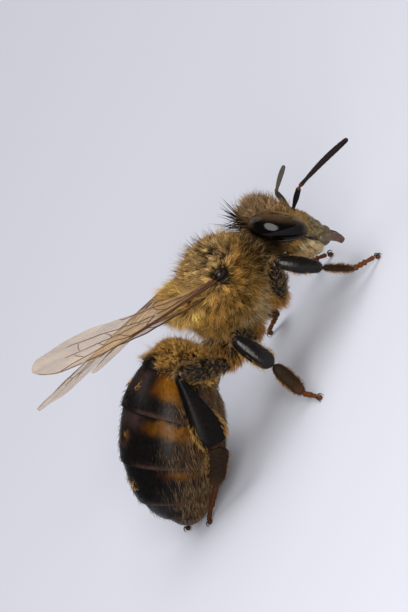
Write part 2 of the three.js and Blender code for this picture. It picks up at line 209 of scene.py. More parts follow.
# ---------------------------------------------------------------- sheets of points
class Sheet:
    """A closed skin as rows of points: columns run round it, and a point closes each end."""

    def __init__(self, points, ends):
        self.points = np.asarray(points, float)
        self.rows, self.columns = self.points.shape[:2]
        self.ends = ends
        self.normals = self._normals()

    def _normals(self):
        round_way = np.roll(self.points, -1, 1) - np.roll(self.points, 1, 1)
        first, last = (np.broadcast_to(end, self.points[:1].shape) for end in self.ends)
        padded = np.concatenate([first, self.points, last])
        along = padded[2:] - padded[:-2]
        normals = unit(np.cross(round_way, along))
        out = self.points - self.points.mean(1, keepdims=True)
        return normals if (normals * out).sum() > 0 else -normals

    def moved(self, offset):
        """The sheet with each point moved along its normal."""
        return Sheet(self.points + self.normals * offset[..., None], self.ends)

    def faces(self):
        index = np.arange(self.rows * self.columns).reshape(self.rows, self.columns)
        a, b = index[:-1], index[1:]
        quads = np.stack([a, np.roll(a, -1, 1), np.roll(b, -1, 1), b], -1).reshape(-1, 4)
        top, tail = self.rows * self.columns, self.rows * self.columns + 1
        first = np.stack([np.full(self.columns, top), np.roll(index[0], -1), index[0]], -1)
        last = np.stack([np.full(self.columns, tail), index[-1], np.roll(index[-1], -1)], -1)
        return quads, np.concatenate([first, last])

    def vertices(self):
        return np.concatenate([self.points.reshape(-1, 3), [self.ends[0]], [self.ends[1]]])

    def spread(self, values):
        """Colours on the points, with the two end points given those of the rows beside them."""
        values = np.broadcast_to(np.asarray(values, float), self.points.shape).reshape(-1, 3)
        first, last = values[: self.columns].mean(0), values[-self.columns :].mean(0)
        return np.concatenate([values, [first], [last]])

    def scatter(self, count, rng, density=None):
        """Random places on the skin: points, normals, uv and the row they lie at."""
        here = self.points
        right, below = np.roll(here, -1, 1)[:-1], here[1:]
        across, down = right - here[:-1], below - here[:-1]
        weight = np.linalg.norm(np.cross(across, down), axis=-1)
        if density is not None:
            weight = weight * np.maximum(density((here[:-1] + right + below) / 3), 0)
        weight = weight.ravel()
        chosen = rng.choice(len(weight), count, p=weight / weight.sum())
        row, column = np.divmod(chosen, self.columns)
        s, t = rng.random(count), rng.random(count)

        def at(values):
            after = (column + 1) % self.columns
            top = values[row, column] * (1 - s)[:, None] + values[row, after] * s[:, None]
            low = values[row + 1, column] * (1 - s)[:, None] + values[row + 1, after] * s[:, None]
            return top * (1 - t)[:, None] + low * t[:, None]

        uv = np.stack([(column + s) / self.columns, 0.02 + 0.96 * (row + t) / (self.rows - 1)], -1)
        return at(here), unit(at(self.normals)), uv, row + t


def round_body(parts, heart, axis, rows, columns):
    """The skin of a rounded body as seen from its heart, with its poles on an axis."""
    polar = (np.arange(rows) + 0.5) / rows * math.pi
    around = np.arange(columns) / columns * 2 * math.pi
    t, f = np.meshgrid(polar, around, indexing="ij")
    ring = [np.sin(t) * np.cos(f), np.sin(t) * np.sin(f)]
    if axis == "x":
        ways = np.stack([np.cos(t), ring[0], ring[1]], -1)
        poles = np.array([[1.0, 0, 0], [-1.0, 0, 0]])
    else:
        ways = np.stack([ring[1], np.cos(t), ring[0]], -1)
        poles = np.array([[0, 1.0, 0], [0, -1.0, 0]])
    flat = np.concatenate([ways.reshape(-1, 3), poles])
    starts = np.broadcast_to(np.asarray(heart, float), flat.shape)
    skin = starts + flat * skin_distance(parts, starts, flat)[:, None]
    return Sheet(skin[:-2].reshape(rows, columns, 3), (skin[-2], skin[-1]))


# ---------------------------------------------------------------- meshes
def to_frame(points):
    return (np.asarray(points, float) - MODEL_CENTRE) * 0.001


def fill(items, key, values, kind=np.float32):
    items.foreach_set(key, np.asarray(values).astype(kind).ravel())


def new_object(name, vertices, polygons, material, colours, uv=None):
    """A mesh object from millimetre points. polygons is a list of arrays of corner indices."""
    mesh = bpy.data.meshes.new(name)
    sizes = np.concatenate([np.full(len(p), p.shape[1]) for p in polygons])
    corners = np.concatenate([p.ravel() for p in polygons])
    starts = np.concatenate([[0], np.cumsum(sizes)[:-1]])
    mesh.vertices.add(len(vertices))
    fill(mesh.vertices, "co", to_frame(vertices))
    mesh.loops.add(len(corners))
    fill(mesh.loops, "vertex_index", corners, np.int32)
    mesh.polygons.add(len(sizes))
    fill(mesh.polygons, "loop_start", starts, np.int32)
    fill(mesh.polygons, "use_smooth", np.ones(len(sizes)), bool)
    mesh.update(calc_edges=True)
    layer = mesh.color_attributes.new("tint", "FLOAT_COLOR", "POINT")
    fill(layer.data, "color", np.concatenate([colours, np.ones((len(colours), 1))], 1))
    if uv is not None:
        fill(mesh.uv_layers.new(name="OFBake").data, "uv", uv[corners])
    mesh.validate()
    mesh.materials.append(material)
    made = bpy.data.objects.new(name, mesh)
    bpy.context.scene.collection.objects.link(made)
    return made


def outward(made):
    """Turns a closed mesh's faces to point out of it."""
    work = bmesh.new()
    work.from_mesh(made.data)
    bmesh.ops.recalc_face_normals(work, faces=work.faces)
    work.to_mesh(made.data)
    work.free()


def place(made, slot, *nodes):
    """Attaches a piece to the root body and hides the solids that it stands for."""
    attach(made, "root")
    if nodes:
        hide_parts(*nodes)


def add_piece(name, sheets, paint, tint, slot, *nodes):
    """One piece of one or more sheets. tint is a colour, or a colour for each point of the sheet."""
    vertices, quads, triangles, start = [], [], [], 0
    for sheet in sheets:
        q, t = sheet.faces()
        quads.append(q + start)
        triangles.append(t + start)
        vertices.append(sheet.vertices())
        start += len(vertices[-1])
    polygons = [np.concatenate(quads), np.concatenate(triangles)]
    colours = np.concatenate([sheet.spread(tint) for sheet in sheets])
    made = new_object(name, np.concatenate(vertices), polygons, paint.material, colours)
    outward(made)
    place(made, slot, *nodes)


# ---------------------------------------------------------------- limbs
def through(knots, t):
    """A smooth curve through (share, value, value...) rows, read at the shares t."""
    knots = np.asarray(knots, float)
    shares, values = knots[:, 0], knots[:, 1:]
    slopes = np.gradient(values, shares, axis=0)
    i = np.clip(np.searchsorted(shares, t, side="right") - 1, 0, len(shares) - 2)
    span = (shares[i + 1] - shares[i])[:, None]
    s = ((t - shares[i]) / span[:, 0])[:, None]
    a, b, p, q = values[i], values[i + 1], slopes[i] * span, slopes[i + 1] * span
    leaving = a * (2 * s**3 - 3 * s**2 + 1) + p * (s**3 - 2 * s**2 + s)
    return leaving + b * (3 * s**2 - 2 * s**3) + q * (s**3 - s**2)


def tube(path, widths, thicknesses, face, sides=16):
    """A limb along a path. Its thickness lies along face, and its width across that."""
    path = np.asarray(path, float)
    along = unit(np.gradient(path, axis=0))
    face = np.broadcast_to(np.asarray(face, float), path.shape)
    flat = unit(face - along * (face * along).sum(1)[:, None])
    across = np.cross(along, flat)
    run = run_along(path)
    widths, thicknesses = np.broadcast_to(widths, run.shape), np.broadcast_to(thicknesses, run.shape)
    reach = np.minimum(np.minimum(widths, thicknesses) * 0.55, run[-1] * 0.45)
    edge = np.minimum(run, run[-1] - run)
    cap = np.sqrt(np.clip(1 - (1 - np.clip(edge / reach, 0.02, 1)) ** 2, 0, 1))
    angle = np.arange(sides) / sides * 2 * math.pi
    ring = across[:, None] * (np.cos(angle)[None, :, None] * (widths * cap / 2)[:, None, None])
    ring = ring + flat[:, None] * (np.sin(angle)[None, :, None] * (thicknesses * cap / 2)[:, None, None])
    return Sheet(path[:, None] + ring, (path[0], path[-1]))


class Limb:
    """A limb segment and its own axes: along it, across its broad side, and out of its face.

    profile is a list of (share along it, width, thickness).
    """

    def __init__(self, start, end, profile, face=(0, 0, 1.0), rows=22, sides=18):
        self.start, end = np.asarray(start, float), np.asarray(end, float)
        self.length = np.linalg.norm(end - self.start)
        self.along = unit(end - self.start)
        self.face = unit(np.asarray(face) - self.along * (self.along @ np.asarray(face)))
        self.across = np.cross(self.along, self.face)
        t = (1 - np.cos(np.linspace(0, math.pi, rows))) / 2
        girth = through(profile, t)
        self.sheet = tube(mix(self.start, end, t[:, None]), girth[:, 0], girth[:, 1], face, sides)
        self.widest = max(width for _, width, _ in profile)

    def read(self, p):
        """How far along (0 to 1), across and out of the face points are."""
        q = p - self.start
        return q @ self.along / self.length, q @ self.across, q @ self.face


# ---------------------------------------------------------------- hair
HAIR_PATCH = 0.003  # how much of the unwrap each hair's patch covers
ROOT_DEPTH = 0.03  # how far each hair starts under the skin
PIECE_HAIRS = {3: 12000, 2: 19000}  # most hairs in one piece, by how many rings each hair has


def tile(uv, index, side):
    """Moves an unwrap into one cell of a square with side cells each way."""
    row, column = divmod(index, side)
    return (uv + np.array([column, row])) / side


class Coat:
    """Gathers hairs, then makes them as pieces of solid mesh.

    rings is how many rings of corners each hair has under its tip.
    """

    def __init__(self, name, slot, rings, seed):
        self.name, self.slot, self.rings = name, slot, rings
        self.rng = np.random.default_rng(SEED + seed)
        self.batches = []

    def add(
        self, places, lie, length, width, root_tint, tip_tint,
        lift=(0.85, 0.6), pull=0.45, clump=14, jitter=0.18, curl=0.0, contrast=0.0,
    ):
        """Hairs at places = (points, normals, uv), leaning along lie and clumped towards their leaders.

        curl bows each lock to one side, and contrast sets locks apart by their shade.
        """
        points, normals, uv = places[:3]
        count, rng = len(points), self.rng
        lie = np.broadcast_to(np.asarray(lie, float), points.shape)
        lie = unit(lie - normals * (lie * normals).sum(1)[:, None])
        length = np.broadcast_to(length, count) * rng.uniform(0.72, 1.18, count)
        loose = rng.normal(size=(2, count, 3)) * jitter
        first = unit(normals * lift[0] + lie * (1 - lift[0]) + loose[0])
        second = unit(normals * lift[1] + lie * (1 - lift[1]) + loose[0] + loose[1])
        bend = points + first * (length * 0.5)[:, None]
        tips = bend + second * (length * 0.5)[:, None]
        shade = rng.uniform(0.7, 1.25, count)
        if pull > 0 and count > clump * 2:
            leaders = rng.choice(count, max(count // clump, 1), replace=False)
            tree = KDTree(len(leaders))
            for i, leader in enumerate(leaders):
                tree.insert(points[leader], i)
            tree.balance()
            nearest = leaders[np.array([tree.find(p)[1] for p in points])]
            led = points[nearest] + (tips[nearest] - points[nearest]) * (length / length[nearest])[:, None]
            tips = mix(tips, led, pull)
            bend = mix(bend, (points + led) / 2 + normals * (length * 0.06)[:, None], pull * 0.6)
            lock = rng.uniform(-1, 1, (count, 2))[nearest]
            aside = np.cross(normals, lie) * (length * curl)[:, None]
            bend = bend + aside * (lock[:, :1] + rng.uniform(-0.5, 0.5, (count, 1)))
            shade = shade * np.exp(lock[:, 1] * contrast)
        self.batches.append({
            "root": points - normals * ROOT_DEPTH,
            "bend": bend,
            "tip": tips,
            "width": np.broadcast_to(width, count) * rng.uniform(0.8, 1.2, count),
            "uv": uv,
            "root_tint": np.broadcast_to(root_tint, (count, 3)),
            "tip_tint": np.broadcast_to(tip_tint, (count, 3)),
            "shade": shade,
        })

    def make(self):
        """Builds the pieces. Hairs are three-sided and taper from root to tip."""
        rows = {key: np.concatenate([b[key] for b in self.batches]) for key in self.batches[0]}
        order = np.random.default_rng(SEED).permutation(len(rows["width"]))
        most = PIECE_HAIRS[self.rings]
        pieces = math.ceil(len(order) / most)
        for number in range(pieces):
            chosen = order[number::pieces]
            self._piece(f"{self.name}_{number + 1}", {key: value[chosen] for key, value in rows.items()})

    def _piece(self, name, hair):
        count = len(hair["width"])
        shares = np.linspace(0, 1, self.rings + 1)
        thick = np.interp(shares, [0, 0.5, 1], [1.0, 0.8, 0.0])
        direction = unit(hair["tip"] - hair["root"])
        side = unit(np.cross(direction, unit(direction + [0.3, 0.5, -0.7])))
        other = np.cross(direction, side)
        vertices, tints, uvs = [], [], []
        for share, girth in zip(shares, thick):
            line = hair["root"] * (1 - share) ** 2 + hair["bend"] * 2 * share * (1 - share)
            line = line + hair["tip"] * share**2
            # Each hair darkens from its tip to its root: partly the hair's own colour, partly painted shade
            # for the dark deep between locks.
            tint = mix(hair["root_tint"], hair["tip_tint"], smooth(0.1, 0.8, share)) * hair["shade"][:, None]
            for k in range(3 if girth > 0 else 1):
                angle = k * 2 * math.pi / 3
                out = side * math.cos(angle) + other * math.sin(angle)
                vertices.append(line + out * (hair["width"] * girth / 2)[:, None])
                tints.append(tint)
                uvs.append(hair["uv"] + HAIR_PATCH * np.array([k / 3 - 0.5, share - 0.5]))
        per = len(vertices)
        vertices = np.stack(vertices, 1).reshape(-1, 3)
        tints = np.clip(np.stack(tints, 1).reshape(-1, 3), 0, 1)
        uvs = np.clip(np.stack(uvs, 1).reshape(-1, 2), 0, 1)
        quads, triangles = [], [[0, 2, 1]]
        for ring in range(self.rings - 1):
            for k in range(3):
                a, b = ring * 3 + k, ring * 3 + (k + 1) % 3
                quads.append([a, b, b + 3, a + 3])
        last = (self.rings - 1) * 3
        for k in range(3):
            triangles.append([last + k, last + (k + 1) % 3, per - 1])
        starts = (np.arange(count) * per)[:, None, None]
        polygons = [
            (np.array(quads)[None] + starts).reshape(-1, 4),
            (np.array(triangles)[None] + starts).reshape(-1, 3),
        ]
        place(new_object(name, vertices, polygons, hair_paint.material, tints, uvs), self.slot)


# ---------------------------------------------------------------- materials
class Paint:
    """A procedural material round one Principled shader."""

    def __init__(self, name, specular, roughness=0.5):
        self.material = bpy.data.materials.new(name)
        self.material.use_nodes = True
        self.tree = self.material.node_tree
        self.shader = self.tree.nodes["Principled BSDF"]
        self.set("Roughness", roughness)
        self.set("Specular IOR Level", specular)
        self.coordinates = self.tree.nodes.new("ShaderNodeTexCoord").outputs["Object"]

    def set(self, socket, value):
        self.shader.inputs[socket].default_value = value

    def link(self, output, socket):
        self.tree.links.new(output, socket)

    def texture(self, kind, size_mm):
        """A noise or cell texture whose features are about size_mm across."""
        node = self.tree.nodes.new(kind)
        node.inputs["Scale"].default_value = 1000 / size_mm
        self.link(self.coordinates, node.inputs["Vector"])
        return node

    def noise(self, size_mm, detail=3.0):
        node = self.texture("ShaderNodeTexNoise", size_mm)
        node.inputs["Detail"].default_value = detail
        return node.outputs["Fac"]

    def noise_span(self, size_mm, low, high):
        """Noise that runs from low to high."""
        node = self.tree.nodes.new("ShaderNodeMapRange")
        sockets = ("From Min", "From Max", "To Min", "To Max")
        for socket, number in zip(sockets, (0.3, 0.7, low, high)):
            node.inputs[socket].default_value = number
        self.link(self.noise(size_mm), node.inputs["Value"])
        return node.outputs["Result"]

    def tint(self, low, high, size_mm):
        """The mesh's own tint, made uneven by noise, as the base colour."""
        attribute = self.tree.nodes.new("ShaderNodeAttribute")
        attribute.attribute_name = "tint"
        scale = self.tree.nodes.new("ShaderNodeVectorMath")
        scale.operation = "SCALE"
        self.link(attribute.outputs["Color"], scale.inputs[0])
        self.link(self.noise_span(size_mm, low, high), scale.inputs["Scale"])
        self.link(scale.outputs["Vector"], self.shader.inputs["Base Color"])
        return self

    def uneven(self, low, high, size_mm=0.2):
        self.link(self.noise_span(size_mm, low, high), self.shader.inputs["Roughness"])
        return self

    def pitted(self, size_mm, strength, depth_mm):
        """Fine cells, as those of insect cuticle and of a compound eye."""
        cells = self.texture("ShaderNodeTexVoronoi", size_mm)
        return self.bump(cells.outputs["Distance"], strength, depth_mm)

    def bump(self, height, strength, depth_mm):
        node = self.tree.nodes.new("ShaderNodeBump")
        node.inputs["Strength"].default_value = strength
        node.inputs["Distance"].default_value = depth_mm * 0.001
        self.link(height, node.inputs["Height"])
        self.link(node.outputs["Normal"], self.shader.inputs["Normal"])
        return self


hair_paint = Paint("hair", 0.04, 0.6).tint(0.85, 1.15, 0.5)
face_paint = Paint("face_cuticle", 0.2).tint(0.7, 1.3, 0.15).uneven(0.3, 0.5).pitted(0.035, 0.5, 0.012)
trunk_paint = Paint("trunk_cuticle", 0.1).tint(0.7, 1.3, 0.2).uneven(0.35, 0.6).pitted(0.05, 0.5, 0.015)
plate_paint = Paint("abdomen_plates", 0.09).tint(0.75, 1.25, 0.25).uneven(0.2, 0.38, 0.3)
plate_paint.bump(plate_paint.noise(0.03, 4.0), 0.4, 0.01)
leg_paint = Paint("leg_cuticle", 0.22).tint(0.7, 1.3, 0.15).uneven(0.14, 0.26, 0.12).pitted(0.07, 0.3, 0.012)
basket_paint = Paint("pollen_basket_cuticle", 0.05).tint(0.7, 1.3, 0.15).uneven(0.2, 0.4, 0.12)
basket_paint.pitted(0.05, 0.2, 0.01)
dull_paint = Paint("dull_cuticle", 0.1).tint(0.7, 1.3, 0.12).uneven(0.45, 0.65, 0.1).pitted(0.05, 0.8, 0.015)
eye_paint = Paint("compound_eye", 0.16, 0.07).tint(0.85, 1.15, 0.3).pitted(0.03, 0.12, 0.004)
wing_paint = Paint("wing_membrane", 0.6, 0.28).tint(0.8, 1.2, 0.8)
wing_paint.bump(wing_paint.noise(0.12), 0.35, 0.01)
wing_paint.set("Alpha", 0.38)

# hair and cuticle colours, as linear light
BLACK = np.array([0.004, 0.0033, 0.003])
DARK = np.array([0.016, 0.0085, 0.003])
BROWN = np.array([0.06, 0.024, 0.008])
RUST = np.array([0.16, 0.04, 0.009])
AMBER = np.array([0.30, 0.11, 0.018])
TAN = np.array([0.46, 0.22, 0.055])
GOLD = np.array([0.78, 0.37, 0.07])
STRAW = np.array([0.75, 0.44, 0.13])
PALE = np.array([0.88, 0.72, 0.45])
OLIVE = np.array([0.22, 0.15, 0.06])

# ---------------------------------------------------------------- head
head_bare = round_body(HEAD_PARTS, in_head([-0.05, 0, -0.05]), "y", 110, 150)


def from_clypeus(out, up):
    """How far places on the face are from the middle of the clypeus: 1 at its edge."""
    return np.hypot(out / 0.72, (up + 1.4) / 0.72)


def head_relief(sheet):
    """Clypeus seam, feeler sockets and a low ridge down the face."""
    q = head_axes(sheet.points)
    front = smooth(0.1, 0.4, q[..., 0])
    seam = np.abs(from_clypeus(q[..., 1], q[..., 2]) - 1)
    relief = -0.05 * np.exp(-((seam / 0.07) ** 2)) * front
    for side in SIDES.values():
        socket = np.hypot(q[..., 1] - side * 0.32, q[..., 2] + 0.4)
        relief = relief - 0.09 * np.exp(-((socket / 0.17) ** 2)) * front
        relief = relief + 0.03 * np.exp(-(((socket - 0.24) / 0.06) ** 2)) * front
    ridge = np.exp(-((q[..., 1] / 0.12) ** 2)) * smooth(-0.8, -0.2, q[..., 2])
    return relief + 0.04 * ridge * front


head_skin = head_bare.moved(head_relief(head_bare))
q = head_axes(head_skin.points)
clypeus = smooth(0.85, 0.65, from_clypeus(np.abs(q[..., 1]), q[..., 2])) * smooth(0, 0.3, q[..., 0])
head_tint = mix(BLACK * 1.6, (0.05, 0.052, 0.04), clypeus)
add_piece("head_skin", [head_skin], face_paint, head_tint, "head_coat", "head")

EYE_HALF = np.array([0.57, 0.5, 1.21])  # forward, out and up, before the lean
EYE_LEAN = 10  # degrees that the eyes lean back at the crown
EYE_CLOSING = 8  # degrees that the eyes close in towards the crown
EYE_MIDDLE = np.array([0.02, 1.42, 0.23])  # the left eye's, in the head


def eye_place(local, side):
    """A point given in an eye's own axes: forward, out and up."""
    closed = turn_x(local, -EYE_CLOSING) * [1, side, 1]
    return in_head(turn_y(closed, -EYE_LEAN) + EYE_MIDDLE * [1, side, 1])


def eye_axes(p, side):
    """The reverse of eye_place."""
    q = turn_y(head_axes(p) - EYE_MIDDLE * [1, side, 1], EYE_LEAN)
    return turn_x(q * [1, side, 1], EYE_CLOSING)


def eye_sheet(side):
    """A long oval eye, fuller towards the crown, with a flatter front margin."""
    polar = (np.arange(56) + 0.5) / 56 * math.pi
    around = np.arange(72) / 72 * 2 * math.pi
    t, f = np.meshgrid(polar, around, indexing="ij")
    up = np.cos(t)
    girth = np.sin(t) ** 0.92  # a little fuller than an ellipse
    forward = girth * np.cos(f) * (1 + 0.12 * up)
    forward = np.where(forward > 0, forward * (0.94 - 0.06 * np.cos(up * 2.4)), forward)
    local = np.stack([forward * EYE_HALF[0], girth * np.sin(f) * EYE_HALF[1], up * EYE_HALF[2]], -1)
    ends = [eye_place([0, 0, end * EYE_HALF[2]], side) for end in (1, -1)]
    return Sheet(eye_place(local, side), ends), up, forward


for name, side in SIDES.items():
    eye, up, forward = eye_sheet(side)
    # The lighter brown on each eye's front margin and at its top and bottom ends is painted sheen, a
    # reflection painted into the colour.
    rim = smooth(0.25, 1.0, forward) + 0.5 * smooth(0.75, 0.97, np.abs(up)) * smooth(-0.4, 0.1, forward)
    eye_tint_and_painted_sheen = mix((0.0016, 0.0011, 0.0008), (0.085, 0.05, 0.024), np.clip(rim, 0, 1))
    add_piece(f"eye_{name}_lens", [eye], eye_paint, eye_tint_and_painted_sheen, "eye", f"eye_{name}")


def ball(centre, radii, up=(0, 0, 1), rows=10, columns=14):
    """A small closed oval with its poles along up."""
    up = unit(up)
    side = unit(np.cross(up, [0.31, 0.17, 0.93]))
    other = np.cross(up, side)
    polar = ((np.arange(rows) + 0.5) / rows * math.pi)[:, None, None]
    around = (np.arange(columns) / columns * 2 * math.pi)[None, :, None]
    radii = np.broadcast_to(np.asarray(radii, float), 3)
    ring = np.cos(around) * side * radii[0] + np.sin(around) * other * radii[1]
    points = np.cos(polar) * up * radii[2] + np.sin(polar) * ring
    centre = np.asarray(centre, float)
    return Sheet(points + centre, (centre + up * radii[2], centre - up * radii[2]))


OCELLI = ((0.5, 0, 0.98), (0.34, 0.28, 1.16), (0.34, -0.28, 1.16))  # the three simple eyes
add_piece("ocelli", [ball(in_head(c), 0.12) for c in OCELLI], eye_paint, 0.03, "eye")

# ---------------------------------------------------------------- thorax
thorax_skin = round_body(THORAX_PARTS, (2.4, 0, 4.45), "x", 90, 110)
add_piece("thorax_skin", [thorax_skin], trunk_paint, BLACK * 1.5, "thorax_coat", "thorax")

# ---------------------------------------------------------------- abdomen
# stations down the abdomen: place along it, centre x, centre z, tilt of the ring in degrees
STATIONS = [
    (0.0, 0.05, 3.2, -10),
    (0.5, -0.45, 3.55, -5),
    (1.0, -1.483, 4.338, 13.5),
    (2.0, -2.975, 3.424, 18.5),
    (3.0, -4.553, 2.457, 29.5),
    (4.0, -5.71, 1.572, 36),
    (5.0, -6.134, 1.019, 42),
    (6.0, -6.437, 0.40, 48),
]
PLATE_LIFT = 0.085  # how far each plate's hind edge stands over the next plate


def abdomen_rows():
    """Places down the abdomen, close together at each plate's hind edge."""
    edge = [0.94, 0.965, 0.985, 0.996]
    within = np.concatenate([[0.004, 0.02, 0.045, 0.08], np.linspace(0.13, 0.9, 13), edge])
    first = np.concatenate([np.linspace(0.03, 0.9, 16), edge])
    last = 5 + np.array([0.004, 0.03, 0.08, 0.16, 0.26, 0.38, 0.5, 0.62, 0.73, 0.82, 0.89, 0.945, 0.98])
    return np.concatenate([first] + [k + within for k in range(1, 5)] + [last])


def build_abdomen(columns=132):
    """The bare skin, and each row's place, plate and share of its plate, and each column's turn."""
    rows = abdomen_rows()
    angle = np.arange(columns) / columns * 2 * math.pi
    places = through(STATIONS, rows)
    tilt = np.radians(places[:, 2])
    up = np.stack([-np.sin(tilt), np.zeros(len(rows)), np.cos(tilt)], -1)
    heart = np.stack([places[:, 0], np.zeros(len(rows)), places[:, 1]], -1)
    ways = up[:, None] * np.cos(angle)[:, None] - np.array([0, 1.0, 0]) * np.sin(angle)[:, None]
    starts = np.broadcast_to(heart[:, None], ways.shape).reshape(-1, 3)
    far = skin_distance(ABDOMEN_PARTS, starts, ways.reshape(-1, 3)).reshape(len(rows), columns)
    ends = (np.array([0.06, 0, 3.2]), in_abdomen(3.56, -0.68))
    bare = Sheet(heart[:, None] + ways * far[..., None], ends)
    turn = np.degrees(np.minimum(angle, 2 * math.pi - angle))  # 0 on the back, 180 on the belly
    return bare, rows, np.floor(rows).astype(int), np.mod(rows, 1), turn


abdomen_bare, abdomen_row, plate, share, turn = build_abdomen()
lift = PLATE_LIFT * smooth(0.0, 1.0, share) ** 1.3
lift = np.where(plate == 5, 0.02 * share, np.where(plate == 0, lift * 0.6, lift))
lift = lift[:, None] * (1 - 0.5 * smooth(120, 150, turn))[None]
groove = -0.05 * np.exp(-(((turn - 128) / 4.0) ** 2))[None]  # between the back and belly plates
groove = groove * np.minimum(1, np.sin(share * math.pi) * 3)[:, None]
abdomen_skin = abdomen_bare.moved(lift + groove)

# plate: first and last share of it, first and last turn round it, and strength of its amber band
BANDS = {
    0: (0.2, 0.9, 55, 120, 0.5),
    1: (0.0, 0.55, 46, 100, 1.0),
    2: (0.06, 0.32, 30, 112, 1.0),
    3: (0.08, 0.24, 60, 112, 0.6),
    4: (0.05, 0.2, 64, 112, 0.4),
}


def abdomen_tint(points, plate, share, turn):
    """Dark plates with amber bands on their flanks and pale hind edges; the bands carry a painted highlight
    where they face the key light.
    """
    wobble = 0.06 * waves(points, 1.1, 5) + 0.03 * waves(points, 0.35, 6)
    worn = smooth(-0.2, 0.3, waves(points, 0.4, 8))
    ragged = share + wobble
    tint = np.broadcast_to((0.0036, 0.0029, 0.0029), points.shape)
    for number, (low, high, top, bottom, strength) in BANDS.items():
        here = plate == number
        along = smooth(low - 0.05, low + 0.06, ragged) * smooth(high + 0.1, high - 0.08, ragged)
        round_it = smooth(top - 10, top + 16, turn + wobble * 120) * smooth(bottom + 12, bottom - 12, turn)
        # painted highlight: each amber band is brightest at a turn of about 76 degrees, where the plates
        # face the key light
        painted_highlight = 0.55 + 0.45 * np.exp(-(((turn - 76) / 14) ** 2))
        deep = mix((0.08, 0.021, 0.003), (0.19, 0.070, 0.003), smooth(top, top + 26, turn))
        deep = deep * (0.75 if number == 2 else 1.0)
        tint = mix(tint, deep * painted_highlight[..., None], along * round_it * strength * here)
        spot = np.exp(-(((share - 0.45) / 0.13) ** 2) - ((turn - 5) / 9) ** 2) * (number in (2, 3))
        tint = mix(tint, (0.26, 0.12, 0.03), spot * worn * here)
        hind = smooth(0.88, 0.95, share) * smooth(15, 40, turn) * here * 0.7
        tint = mix(tint, (0.050, 0.028, 0.021), hind)
    dusk = smooth(70, 105, turn) * (plate > 0) * smooth(0.3, 0.6, share)
    tint = mix(tint, (0.045, 0.024, 0.012), dusk * 0.7)
    mauve = smooth(0.0, 0.15, share) * smooth(0.75, 0.3, share) * smooth(50, 25, turn) * (plate == 1)
    mauve = mauve + smooth(0.0, 0.06, share) * smooth(0.4, 0.15, share) * smooth(45, 25, turn) * (plate == 2)
    tint = mix(tint, (0.035, 0.020, 0.018), mauve * 0.8)
    belly = smooth(118, 140, turn) * np.ones_like(share)
    return mix(tint, (0.08, 0.04, 0.016), belly * 0.7)


add_piece(
    "abdomen_skin", [abdomen_skin], plate_paint,
    abdomen_tint(abdomen_skin.points, plate[:, None], share[:, None], turn[None]),
    "banded_cuticle", *[f"abdomen_{n}" for n in range(1, 7)],
)

# ---------------------------------------------------------------- legs
# each leg's joints: hip, hip's end, knee, ankle, instep and toe
LEGS = {
    ("fore", "right"): (
        (3.5, -0.55, 3.3), (3.23, -0.95, 2.2), (4.4, -2.2, 3.75),
        (5.16, -2.6, 1.99), (5.74, -2.5, 0.8), (6.6, -2.35, 0.2),
    ),
    ("mid", "right"): (
        (2.1, -0.65, 3.1), (1.45, -1.15, 2.5), (0.93, -2.7, 3.85),
        (0.83, -3.2, 1.96), (0.45, -3.6, 0.4), (0.62, -4.5, 0.2),
    ),
    ("hind", "right"): (
        (0.9, -0.6, 3.15), (0.04, -1.2, 2.8), (-1.44, -2.4, 5.0),
        (-3.09, -3.0, 2.19), (-4.46, -2.1, 1.1), (-5.85, -0.95, 0.2),
    ),
    ("fore", "left"): (
        (3.5, 0.55, 3.3), (3.3, 0.95, 2.3), (4.1, 2.2, 3.7),
        (4.75, 2.7, 1.9), (5.1, 2.6, 0.75), (5.8, 2.42, 0.2),
    ),
    ("mid", "left"): (
        (2.1, 0.65, 3.1), (1.6, 1.15, 2.5), (1.75, 2.6, 3.6),
        (2.3, 3.05, 1.75), (2.75, 3.35, 0.45), (1.95, 3.85, 0.2),
    ),
    ("hind", "left"): (
        (0.9, 0.6, 3.15), (0.04, 1.2, 2.8), (-1.3, 2.6, 4.3),
        (-3.3, 2.95, 2.2), (-4.95, 2.1, 1.1), (-6.55, 0.9, 0.2),
    ),
}
SEGMENTS = ("coxa", "femur", "tibia", "basitarsus")
